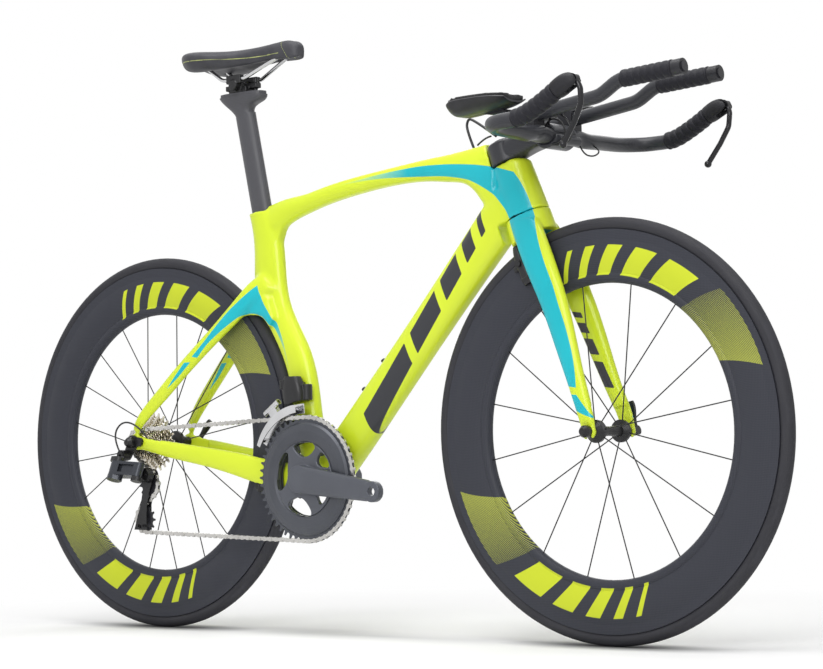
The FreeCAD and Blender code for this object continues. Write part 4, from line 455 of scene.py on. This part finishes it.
def pad_cloth():
    """Closed-loop cloth over foam."""
    made = Shader("pad_cloth", Specular_IOR_Level=0.2, Sheen_Weight=0.12, Sheen_Roughness=0.5)
    knit = made.weave(0.0016)
    fuzz = made.noise(300.0, 4.0)
    seam = made.between(made.attribute("seam"), 0.0, 1.0)
    shade = made.mix(made.between(fuzz, 0.3, 0.7), (0.012, 0.012, 0.013, 1), (0.028, 0.028, 0.03, 1))
    made.put("Base Color", made.mix(seam, shade, (0.006, 0.006, 0.006, 1)))
    made.put("Roughness", made.between(fuzz, 0.3, 0.7, 0.78, 0.95))
    made.bump(made.math("ADD", knit, fuzz), 0.3, 0.0005)
    return made.material


def saddle_skin():
    """Smooth black cover with a leather grain and fine yellow lines."""
    made = Shader("saddle_skin", Specular_IOR_Level=0.35)
    grain = made.cells(850.0)
    line = made.between(made.attribute("line"), -0.25, 0.25)
    cloud = made.between(made.noise(35.0), 0.35, 0.65)
    black = made.mix(cloud, (0.034, 0.034, 0.041, 1), (0.05, 0.05, 0.058, 1))
    made.put("Base Color", made.mix(line, black, (0.42, 0.46, 0.16, 1)))
    made.vary_rough(50.0, 0.42, 0.55)
    made.bump(grain, 0.12, 0.0003)
    return made.material


MATERIALS = {
    "frame_paint": frame_paint(),
    "carbon": carbon("carbon", (0.026, 0.027, 0.032, 1), (0.042, 0.043, 0.05, 1), 0.3, 0.38),
    "post": carbon("post_carbon", (0.06, 0.06, 0.068, 1), (0.082, 0.082, 0.092, 1), 0.36, 0.46),
    "front_rim": rim_finish("front_rim_finish", FRONT_AXLE, 21.0),
    "rear_rim": rim_finish("rear_rim_finish", REAR_AXLE, 25.0),
    "front_tyre": tyre_rubber("front_tyre_rubber", FRONT_AXLE),
    "rear_tyre": tyre_rubber("rear_tyre_rubber", REAR_AXLE),
    "rubber": grained("rubber", (0.012, 0.012, 0.014, 1), (0.02, 0.02, 0.024, 1), 0.55, 900.0, 0.0003,
                      Specular_IOR_Level=0.25),
    "plastic": grained("plastic", (0.014, 0.014, 0.017, 1), (0.022, 0.022, 0.027, 1), 0.36, 1200.0, 0.0002,
                       Specular_IOR_Level=0.35),
    "cable": grained("cable", (0.01, 0.01, 0.011, 1), (0.016, 0.016, 0.018, 1), 0.3, 1500.0, 0.0001,
                     Specular_IOR_Level=0.4),
    "anodised": metal("anodised", (0.014, 0.014, 0.015, 1), (0.024, 0.024, 0.026, 1), 0.36, (1, 6, 1), 0.35),
    "crank": metal("crank_grey", (0.075, 0.08, 0.097, 1), (0.09, 0.096, 0.115, 1), 0.34, (1, 1, 8), 0.3),
    "ring": metal("ring_grey", (0.06, 0.064, 0.077, 1), (0.075, 0.08, 0.095, 1), 0.36, (8, 1, 1), 0.4),
    "alloy": metal("alloy", (0.62, 0.63, 0.66, 1), (0.76, 0.77, 0.79, 1), 0.3, (8, 1, 1)),
    "link": metal("link_grey", (0.035, 0.038, 0.046, 1), (0.055, 0.06, 0.072, 1), 0.24, (6, 1, 1), 0.5),
    "steel": metal("steel", (0.55, 0.55, 0.56, 1), (0.66, 0.66, 0.67, 1), 0.2, (1, 1, 6)),
    "chain": metal("chain_steel", (0.46, 0.45, 0.43, 1), (0.62, 0.61, 0.59, 1), 0.26, (3, 3, 3)),
    "cogs": metal("cog_steel", (0.62, 0.58, 0.5, 1), (0.76, 0.72, 0.64, 1), 0.24, (5, 1, 5)),
    "lever": metal("lever_black", (0.01, 0.01, 0.012, 1), (0.016, 0.016, 0.019, 1), 0.2, (1, 1, 6), 0.3),
    "spoke": metal("spoke_black", (0.012, 0.012, 0.012, 1), (0.02, 0.02, 0.021, 1), 0.35, (1, 1, 1), 0.4),
    "tape": tape_finish(),
    "pad": pad_cloth(),
    "saddle": saddle_skin(),
}

# Nodes that are seen as they are. The rest are replaced by skins, tape and cables below.
FINISHES = {
    "carbon": ("base_bar", "extensions"),
    "post": ("seatpost",),
    "front_rim": ("front_rim",),
    "rear_rim": ("rear_rim",),
    "front_tyre": ("front_tyre",),
    "rear_tyre": ("rear_tyre",),
    "plastic": ("arm_rests", "shifter_housings", "shift_button_left", "shift_button_right",
                "guide_pulley", "tension_pulley"),
    "anodised": ("bottle_bolts", "frame_bearings", "dropout_plates", "front_hub", "rear_hub",
                 "front_axle", "rear_axle", "front_quick_lever", "rear_quick_lever", "chainring_bolts",
                 "rear_derailleur_bracket", "rear_derailleur_knuckle", "rear_derailleur_cage",
                 "front_brake_arm_left", "front_brake_arm_right",
                 "rear_brake_arm_left", "rear_brake_arm_right"),
    "lever": ("brake_lever_left", "brake_lever_right"),
    "ring": ("chainring_large", "chainring_small"),
    "alloy": ("freehub",),
    "link": ("rear_derailleur_link",),
    "steel": ("front_derailleur_cage", "saddle_rails"),
    "chain": ("chain",),
    "cogs": ("cassette",),
    "spoke": ("front_spokes", "rear_spokes"),
}


def finish_with(made, key):
    made.data.materials.clear()
    made.data.materials.append(MATERIALS[key])
    return made


for key, names in FINISHES.items():
    for node_name in names:
        finish_with(nodes[node_name], key)


# Frame and fork: seamless skins, and paint fields drawn on their sides.

STRIPE_TOP = ((-64, 761), (4, 768.5), (49, 773.5), (93, 777), (136, 779), (179, 778), (221, 775), (262, 770),
              (303, 762), (338, 752))
STRIPE_FRONT = ((338, 752), (350, 736), (363, 713), (374, 688), (386, 658), (397, 630), (411, 597),
                (426, 565), (437, 536), (451, 501), (464, 461), (471, 430), (475, 402))
STRIPE_UNDER = ((-64, 760.5), (6, 765), (50, 766), (94, 764.5), (137, 762), (180, 759), (211, 754.5),
                (243, 747), (273, 733), (296, 718), (314, 700), (325, 684), (331, 667), (341, 642),
                (349, 617), (363, 584), (377, 556), (400, 520), (419, 486), (436, 454), (456, 405))
FORK_TIP = ((463, 392), (476, 391), (508, 353), (475, 366))
PATCH_TOP = ((-365, 483), (-344, 503), (-319, 529), (-293, 555), (-269, 574), (-248, 589), (-226, 603))
PATCH_FRONT = ((-226, 603), (-220, 584), (-211, 568), (-195, 544), (-181, 514), (-173, 488), (-164, 450))
PATCH_UNDER = ((-167, 450), (-176, 488), (-192, 520), (-210, 541), (-224, 550), (-243, 554), (-261, 551),
               (-279, 541), (-306, 523), (-332, 503), (-353, 481))
STAY_TIP = ((-382, 473), (-367, 474), (-395, 447), (-421, 426))

# Where blue fades: backwards along the top tube, and down the rear patch's foot.
TOP_TUBE_FOOT = 700
TOP_FADE_START = -40
TOP_FADE_LENGTH = 150
PATCH_FADE_BACK = -220
PATCH_FADE_FRONT = -100
PATCH_FADE_FOOT = 455
PATCH_FADE_HEIGHT = 75


def paint_fields(made):
    """How far each point lies inside the blue fields, how strong blue is there, and the points."""
    spots = points_of(made) * MILLI
    side = spots[:, [0, 2]]
    along, height = side.T
    stripe = np.vstack([curve_through(STRIPE_TOP), curve_through(STRIPE_FRONT)[1:],
                        curve_through(STRIPE_UNDER)[::-1]])
    patch = np.vstack([curve_through(PATCH_TOP), curve_through(PATCH_FRONT)[1:], curve_through(PATCH_UNDER)])
    blue = np.maximum.reduce([inside_by(side, field) for field in (stripe, patch, FORK_TIP, STAY_TIP)])
    top_fade = np.clip((along - TOP_FADE_START) / TOP_FADE_LENGTH, 0, 1)
    top_fade = np.where(height > TOP_TUBE_FOOT, top_fade, 1)
    in_patch = (along < PATCH_FADE_FRONT) & (along > PATCH_FADE_BACK)
    patch_fade = np.where(in_patch, np.clip((height - PATCH_FADE_FOOT) / PATCH_FADE_HEIGHT, 0, 1), 1)
    return blue, top_fade * patch_fade, spots


DOWN_FOOT = np.array((16.0, 353.0))
DOWN_WAY = np.array((0.617, 0.787))
DOWN_BARS = ((4, 150), (170, 256), (276, 330), (350, 380), (400, 414))
BAR_HALF = 16.5
BAR_LEAN = 0.55
LEG_FOOT = np.array((475.0, 390.0))
LEG_WAY = np.array((-0.4, 0.9165))
LEG_BARS = ((14, 60), (72, 100), (110, 128), (137, 147))
LEG_BAR_HALF = 9.0
LEG_BAR_LEAN = 0.6


def slanted_bars(side, foot, way, bars, half, lean):
    """Distances inside a row of slanted bars along a tube."""
    across_way = np.array((-way[1], way[0]))
    along = (side - foot) @ way
    across = (side - foot) @ across_way
    shift = half * lean
    best = np.full(len(side), FAR_OUTSIDE)
    for start, end in bars:
        outline = [(start - shift, -half), (end - shift, -half), (end + shift, half), (start + shift, half)]
        best = np.maximum(best, inside_by(np.stack([along, across], 1), outline))
    return best


# Where tubes meet, and where the seatstays leave the seat tube: balls to even out.
TUBE_ROOTS = (((-0.165, 0, 0.675), 0.085), ((-0.225, 0, 0.58), 0.10), ((0.30, 0, 0.66), 0.075),
              ((0.285, 0, 0.742), 0.075))
STAY_ROOTS = (((-0.205, -0.025, 0.59), 0.062), ((-0.205, 0.025, 0.59), 0.062))
FRAME_NODES = ("front_triangle", "chainstay_left", "chainstay_right", "seatstay_left", "seatstay_right")
main_skin = skin("frame_skin", FRAME_NODES, voxel=0.0022, rounds=7)
evened(main_skin, rounds=15, shares=np.ones(len(main_skin.data.vertices)))
evened(main_skin, rounds=140, shares=near(main_skin, TUBE_ROOTS), back=-0.506)
evened(main_skin, rounds=400, shares=near(main_skin, STAY_ROOTS), back=-0.502)
blue, fade, spots = paint_fields(main_skin)
dark = slanted_bars(spots[:, [0, 2]], DOWN_FOOT, DOWN_WAY, DOWN_BARS, BAR_HALF, BAR_LEAN)
write_attribute(main_skin, "blue", blue)
write_attribute(main_skin, "fade", fade)
write_attribute(main_skin, "dark", dark)
finish_with(main_skin, "frame_paint")
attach(main_skin, "frame")

fork_skin = skin("fork_skin", ("fork",), voxel=0.0018, rounds=6)
evened(fork_skin, rounds=15, shares=np.ones(len(fork_skin.data.vertices)))
blue, fade, spots = paint_fields(fork_skin)
outward = normals_of(fork_skin)[:, 1] * np.sign(spots[:, 1])
FACING_IN = -0.25
inner = outward < FACING_IN
dark = slanted_bars(spots[:, [0, 2]], LEG_FOOT, LEG_WAY, LEG_BARS, LEG_BAR_HALF, LEG_BAR_LEAN)
write_attribute(fork_skin, "blue", np.where(inner, NO_PAINT, blue))
write_attribute(fork_skin, "fade", fade)
write_attribute(fork_skin, "dark", np.where(inner, dark, NO_PAINT))
finish_with(fork_skin, "frame_paint")
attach(fork_skin, "steering")


# Saddle: one rounded skin over its cover and shell, with fine lines along its flanks.

LINE_HALF = 0.7
FLANK_SHARES = (0, 0.1, 0.3, 0.6, 0.85, 1.0)
FLANK_HEIGHTS = (1004, 1007, 1005, 1003, 1005, 1007)
FLANK_START = 0.04
FLANK_END = 0.86
NOSE_SHARE = 0.9
NOSE_HEIGHT = 1010
NOSE_SLANT = 0.002

cover = skin("saddle_top", ("saddle_cover", "saddle_shell"), voxel=0.0018, rounds=5)
spots = points_of(cover) * MILLI
low, high = (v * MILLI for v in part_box("saddle_cover"))
length = high[0] - low[0]
share = (spots[:, 0] - low[0]) / length
flank = np.interp(share, FLANK_SHARES, FLANK_HEIGHTS)
flank_line = LINE_HALF - np.abs(spots[:, 2] - flank)
nose_line = LINE_HALF - np.abs(share - NOSE_SHARE + (spots[:, 2] - NOSE_HEIGHT) * NOSE_SLANT) * length
line = np.where((share > FLANK_START) & (share < FLANK_END), flank_line, NO_PAINT)
write_attribute(cover, "line", np.maximum(line, nose_line))
finish_with(cover, "saddle")
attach(cover, "seatpost")


# Arm pads: foam under cloth, swollen a little, with a sewn channel.

CLOTH_FRAMES = 20
PAD_MIDDLE = 100
SEAM_OUT = 22
SEAM_WIDTH = 2.0
SEAM_DEPTH = 0.0011


def puffed(made, pressure, most):
    """Swells a closed mesh with a short cloth run, no point further than most."""
    rest = points_of(made)
    cloth = made.modifiers.new("cloth", "CLOTH")
    cloth.settings.use_pressure = True
    cloth.settings.uniform_pressure_force = pressure
    cloth.settings.effector_weights.gravity = 0
    cloth.settings.quality = 4
    cloth.point_cache.frame_start = 1
    cloth.point_cache.frame_end = CLOTH_FRAMES
    for number in range(1, CLOTH_FRAMES + 1):
        bpy.context.scene.frame_set(number)
    baked(made)
    bpy.context.scene.frame_set(1)
    moved = points_of(made) - rest
    far = np.linalg.norm(moved, axis=1)
    moved *= np.minimum(1, most / np.maximum(far, TINY))[:, None]
    move_points(made, rest + moved)
    smooth_shaded(made)


pads = skin("arm_cushions", ("arm_pads",), voxel=0.003, rounds=4)
puffed(pads, pressure=3.0, most=0.0016)
spots = points_of(pads)
upward = normals_of(pads)[:, 2]
from_middle = np.abs(np.abs(spots[:, 1] * MILLI) - PAD_MIDDLE)
seam = np.exp(-((from_middle - SEAM_OUT) / SEAM_WIDTH) ** 2) * np.clip(upward * 2, 0, 1)
write_attribute(pads, "seam", seam)
spots[:, 2] -= SEAM_DEPTH * seam
move_points(pads, spots)
finish_with(pads, "pad")
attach(pads, "steering")

hoods = skin("hood_covers", ("lever_hoods",), voxel=0.0014, rounds=4)
finish_with(hoods, "rubber")
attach(hoods, "steering")


# Forged and moulded machine parts: the same shapes with softened edges.

ROUNDED = (
    ("crank_right", "crank_arm_right", 0.0014, 4, "crank", "crank_grey", "crank"),
    ("crank_left", "crank_arm_left", 0.0014, 4, "crank", "crank_grey", "crank"),
    ("mech_body", "front_derailleur_body", 0.0008, 4, "anodised", "black_metal", "frame"),
    ("post_clamp", "saddle_clamp", 0.0010, 4, "anodised", "black_metal", "seatpost"),
    ("stem_shell", "stem", 0.0014, 3, "carbon", "carbon", "steering"),
)
for name, node_name, voxel, rounds, key, slot_name, body in ROUNDED:
    made = skin(name, (node_name,), voxel, rounds)
    finish_with(made, key)
    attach(made, body)


# Handlebar tape: a strip wound round each grip, each turn lapping the last.

RING_SIDES = 40
RING_GAP = 0.0008
TAPE_PITCH = 0.0125
TAPE_LAP = 0.0013
TAPE_FACE = 0.9
END_LENGTH = 0.002
END_DROP = 0.0016


def wound_tape(name, path, radius, pitch, lap):
    """A tube along a path, swollen over each turn of tape and narrowed at both ends."""
    line = curve_through(path, steps=24)
    steps = np.linalg.norm(np.diff(line, axis=0), axis=1)
    travel = np.concatenate([[0], np.cumsum(steps)])
    places = np.arange(0, travel[-1], RING_GAP)
    centres = np.stack([np.interp(places, travel, line[:, k]) for k in range(3)], 1)
    ways = np.gradient(centres, axis=0)
    ways /= np.linalg.norm(ways, axis=1)[:, None]
    side_way = np.array((0.0, 1.0, 0.0))
    rings = []
    for place, centre, way in zip(places, centres, ways):
        up_way = np.cross(way, side_way)
        up_way /= np.linalg.norm(up_way)
        across = np.cross(up_way, way)
        ends = min(1.0, place / END_LENGTH, (places[-1] - place) / END_LENGTH)
        ring = []
        for j in range(RING_SIDES):
            turn = 2 * math.pi * j / RING_SIDES
            phase = (place / pitch + j / RING_SIDES) % 1.0
            bulge = math.sin(math.pi * min(phase / TAPE_FACE, 1.0)) ** 0.5 if phase < TAPE_FACE else 0.0
            reach = radius - lap * (1 - bulge) - END_DROP * (1 - ends)
            ring.append(centre + reach * (math.cos(turn) * up_way + math.sin(turn) * across))
        rings.append(ring)
    return ring_tube(name, rings)


GRIP_PATH = ((0.57222, 0.05, 0.872365), (0.66702, 0.05, 0.87797))
DROP_PATH = ((0.48043, 0.206, 0.8056), (0.50043, 0.206, 0.81), (0.52243, 0.206, 0.8195),
             (0.54443, 0.206, 0.831), (0.55943, 0.206, 0.84))
TAPES = (("grip", GRIP_PATH, 0.0138), ("drop", DROP_PATH, 0.0146))
for word, flip in (("left", 1), ("right", -1)):
    for place, path, radius in TAPES:
        turned = [(x, y * flip, z) for x, y, z in path]
        wrap = wound_tape("tape_%s_%s" % (place, word), turned, radius, TAPE_PITCH, TAPE_LAP)
        finish_with(wrap, "tape")
        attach(wrap, "steering")
        if place == "grip" and word == "left":
            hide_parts("bar_tape")


# Cables: housings from the frame to the stem, the derailleur's wire and loops at the bars.

def cable(name, route, diameter):
    """A round cable on one smooth line, with its line's points."""
    curve = bpy.data.curves.new(name, "CURVE")
    curve.dimensions = "3D"
    spline = curve.splines.new("NURBS")
    spline.points.add(len(route) - 1)
    for point, spot in zip(spline.points, route):
        point.co = (*spot, 1)
    spline.order_u = 3
    spline.use_endpoint_u = True
    curve.resolution_u = 24
    line = placed(name + "_line", curve)
    graph = bpy.context.evaluated_depsgraph_get()
    flat = bpy.data.meshes.new_from_object(line.evaluated_get(graph))
    path = [tuple(v.co) for v in flat.vertices]
    curve.bevel_depth = diameter / 2
    curve.bevel_resolution = 5
    curve.use_fill_caps = True
    bpy.context.view_layer.update()
    graph = bpy.context.evaluated_depsgraph_get()
    mesh = bpy.data.meshes.new_from_object(line.evaluated_get(graph))
    bpy.data.objects.remove(line)
    made = smooth_shaded(placed(name, mesh))
    finish_with(made, "cable")
    return made, path


STEER_THICK = 0.0044
THIN_THICK = 0.0031
WIRE_THICK = 0.0032
STEER_ROUTE = ((0.2416, 0, 0.798), (0.226, 0, 0.832), (0.228, 0, 0.848), (0.238, 0, 0.850), (0.287, 0, 0.816))
THIN_ROUTE = ((0.252, -0.005, 0.804), (0.268, -0.006, 0.815), (0.281, -0.006, 0.816))
WIRE_ROUTE = ((-0.463, -0.069, 0.3416), (-0.477, -0.077, 0.364), (-0.519, -0.077, 0.374),
              (-0.542, -0.079, 0.346), (-0.522, -0.082, 0.319))
steer_cable, path = cable("frame_cable", STEER_ROUTE, STEER_THICK)
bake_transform(steer_cable)
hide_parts("steering_cables")
thin_cable, path = cable("thin_cable", THIN_ROUTE, THIN_THICK)
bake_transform(thin_cable)
wire, path = cable("gear_wire", WIRE_ROUTE, WIRE_THICK)
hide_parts("derailleur_wire")
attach(wire, "frame")

BAR_LOOPS = (
    ("clamp_loop_outer", 0.0036, ((0.412, -0.027, 0.818), (0.424, -0.040, 0.836), (0.452, -0.042, 0.832),
                                  (0.467, -0.038, 0.806), (0.456, -0.033, 0.782), (0.420, -0.027, 0.787))),
    ("clamp_loop_inner", 0.0030, ((0.406, -0.027, 0.819), (0.422, -0.037, 0.829), (0.446, -0.038, 0.822),
                                  (0.453, -0.036, 0.804), (0.444, -0.033, 0.789), (0.418, -0.027, 0.788))),
    ("bar_loop", 0.0026, ((0.410, 0.057, 0.797), (0.416, 0.060, 0.779), (0.432, 0.068, 0.774),
                          (0.440, 0.076, 0.784), (0.420, 0.083, 0.794))),
)
for name, diameter, route in BAR_LOOPS:
    loop, path = cable(name, route, diameter)
    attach(loop, "steering")


# Stage: pale floor with painted shadows under the bike, soft light and the camera.

# Painted shadow ovals on the floor: middle along X, half lengths along X and Y, and the least value in the
# middle.
SHADOW_OVALS = ((FRONT_AXLE[0], 0.3, 0.08, 0.0), (REAR_AXLE[0], 0.3, 0.08, 0.0), (0.0, 0.8, 0.11, 0.62))
# The darkest painted shadow, and the floor's own pale colour.
PAINTED_SHADOW_DARK = 0.12
FLOOR_PALE = 0.97
FLOOR_HALF = 30
WHITE_FROM = 0.55
WHITE_TO = 1.35
CAMERA_SPOT = (2.694, -3.111, 0.318)
CAMERA_TURNS = (39.83, 2.61, -1.21)
CAMERA_LENS = 106.58
SENSOR_WIDTH = 36


def painted_wheel_shadows(tree):
    """Nearly white, with painted shadow: darker in an oval under each wheel and a little in a long one
    between them.
    """
    place = tree.nodes.new("ShaderNodeNewGeometry")
    total = None
    for x, half_x, half_y, least_value in SHADOW_OVALS:
        local = tree.nodes.new("ShaderNodeMapping")
        local.inputs["Location"].default_value = (-x / half_x, 0, 0)
        local.inputs["Scale"].default_value = (1 / half_x, 1 / half_y, 1)
        tree.links.new(place.outputs["Position"], local.inputs["Vector"])
        away = tree.nodes.new("ShaderNodeVectorMath")
        away.operation = "LENGTH"
        tree.links.new(local.outputs[0], away.inputs[0])
        raised = tree.nodes.new("ShaderNodeMath")
        raised.operation = "MULTIPLY_ADD"
        tree.links.new(away.outputs["Value"], raised.inputs[0])
        raised.inputs[1].default_value = 1 - least_value
        raised.inputs[2].default_value = least_value
        if total is None:
            total = raised.outputs[0]
            continue
        least = tree.nodes.new("ShaderNodeMath")
        least.operation = "MINIMUM"
        tree.links.new(total, least.inputs[0])
        tree.links.new(raised.outputs[0], least.inputs[1])
        total = least.outputs[0]
    shade = tree.nodes.new("ShaderNodeMapRange")
    shade.interpolation_type = "SMOOTHSTEP"
    shade.inputs["To Min"].default_value = PAINTED_SHADOW_DARK
    shade.inputs["To Max"].default_value = FLOOR_PALE
    tree.links.new(total, shade.inputs["Value"])
    return shade.outputs[0]


def pale_floor():
    """A floor that is shaded near the bike, with painted shadows under it, and pure white further off."""
    mesh = bpy.data.meshes.new("floor")
    corners = [(x * FLOOR_HALF, y * FLOOR_HALF, 0) for x, y in ((-1, -1), (1, -1), (1, 1), (-1, 1))]
    mesh.from_pydata(corners, [], [(0, 1, 2, 3)])
    floor = placed("floor", mesh)
    made = bpy.data.materials.new("floor")
    made.use_nodes = True
    tree = made.node_tree
    tree.nodes.remove(tree.nodes["Principled BSDF"])
    shaded = tree.nodes.new("ShaderNodeBsdfDiffuse")
    # The floor's colour carries the painted shadows under the bike.
    tree.links.new(painted_wheel_shadows(tree), shaded.inputs["Color"])
    white = tree.nodes.new("ShaderNodeEmission")
    place = tree.nodes.new("ShaderNodeNewGeometry")
    reach = tree.nodes.new("ShaderNodeVectorMath")
    reach.operation = "LENGTH"
    tree.links.new(place.outputs["Position"], reach.inputs[0])
    far = tree.nodes.new("ShaderNodeMapRange")
    far.inputs["From Min"].default_value = WHITE_FROM
    far.inputs["From Max"].default_value = WHITE_TO
    tree.links.new(reach.outputs["Value"], far.inputs["Value"])
    share = tree.nodes.new("ShaderNodeMath")
    share.operation = "MULTIPLY"
    tree.links.new(far.outputs[0], share.inputs[0])
    tree.links.new(seen_directly(tree), share.inputs[1])
    mix = tree.nodes.new("ShaderNodeMixShader")
    tree.links.new(share.outputs[0], mix.inputs[0])
    tree.links.new(shaded.outputs[0], mix.inputs[1])
    tree.links.new(white.outputs[0], mix.inputs[2])
    tree.links.new(mix.outputs[0], tree.nodes["Material Output"].inputs["Surface"])
    floor.data.materials.append(made)


def seen_directly(tree):
    """One for camera, mirror and see-through rays, and nought for the rest."""
    path = tree.nodes.new("ShaderNodeLightPath")
    total = path.outputs["Is Camera Ray"]
    for name in ("Is Glossy Ray", "Is Transmission Ray"):
        added = tree.nodes.new("ShaderNodeMath")
        added.operation = "MAXIMUM"
        tree.links.new(total, added.inputs[0])
        tree.links.new(path.outputs[name], added.inputs[1])
        total = added.outputs[0]
    return total


def white_world(level):
    """White to look at, and dimmer as a light."""
    world = bpy.data.worlds.new("studio")
    bpy.context.scene.world = world
    world.use_nodes = True
    tree = world.node_tree
    strength = tree.nodes.new("ShaderNodeMapRange")
    strength.inputs["To Min"].default_value = level
    strength.inputs["To Max"].default_value = 1.0
    tree.links.new(seen_directly(tree), strength.inputs["Value"])
    tree.nodes["Background"].inputs["Color"].default_value = (1, 1, 1, 1)
    tree.links.new(strength.outputs[0], tree.nodes["Background"].inputs["Strength"])


def soft_light(name, spot, target, size, power):
    lamp = bpy.data.lights.new(name, "AREA")
    lamp.shape = "SQUARE"
    lamp.size = size
    lamp.energy = power
    made = placed(name, lamp)
    made.location = spot
    made.rotation_euler = (Vector(target) - Vector(spot)).to_track_quat("-Z", "Y").to_euler()


def photo_camera():
    """The camera that was fitted to the photo, by its yaw, pitch and roll."""
    yaw, pitch, roll = (math.radians(a) for a in CAMERA_TURNS)
    look = Vector((-math.sin(yaw) * math.cos(pitch), math.cos(yaw) * math.cos(pitch), math.sin(pitch)))
    right = Vector((math.cos(yaw), math.sin(yaw), 0))
    up = right.cross(look)
    turned_right = right * math.cos(roll) + up * math.sin(roll)
    turned_up = up * math.cos(roll) - right * math.sin(roll)
    data = bpy.data.cameras.new("photo_camera")
    data.sensor_width = SENSOR_WIDTH
    data.lens = CAMERA_LENS
    camera = placed("photo_camera", data)
    turn = Matrix((turned_right, turned_up, -look)).transposed().to_4x4()
    camera.matrix_world = Matrix.Translation(CAMERA_SPOT) @ turn
    bpy.context.scene.camera = camera


pale_floor()
white_world(level=0.36)
soft_light("top_light", (0.3, -0.6, 3.0), (0, 0, 0.4), size=2.2, power=62)
soft_light("side_light", (1.4, -3.2, 1.7), (0, 0, 0.5), size=1.8, power=54)
soft_light("back_light", (-1.5, 2.8, 1.8), (0, 0, 0.5), size=2.0, power=26)
photo_camera()
bpy.context.scene.view_settings.view_transform = "Standard"
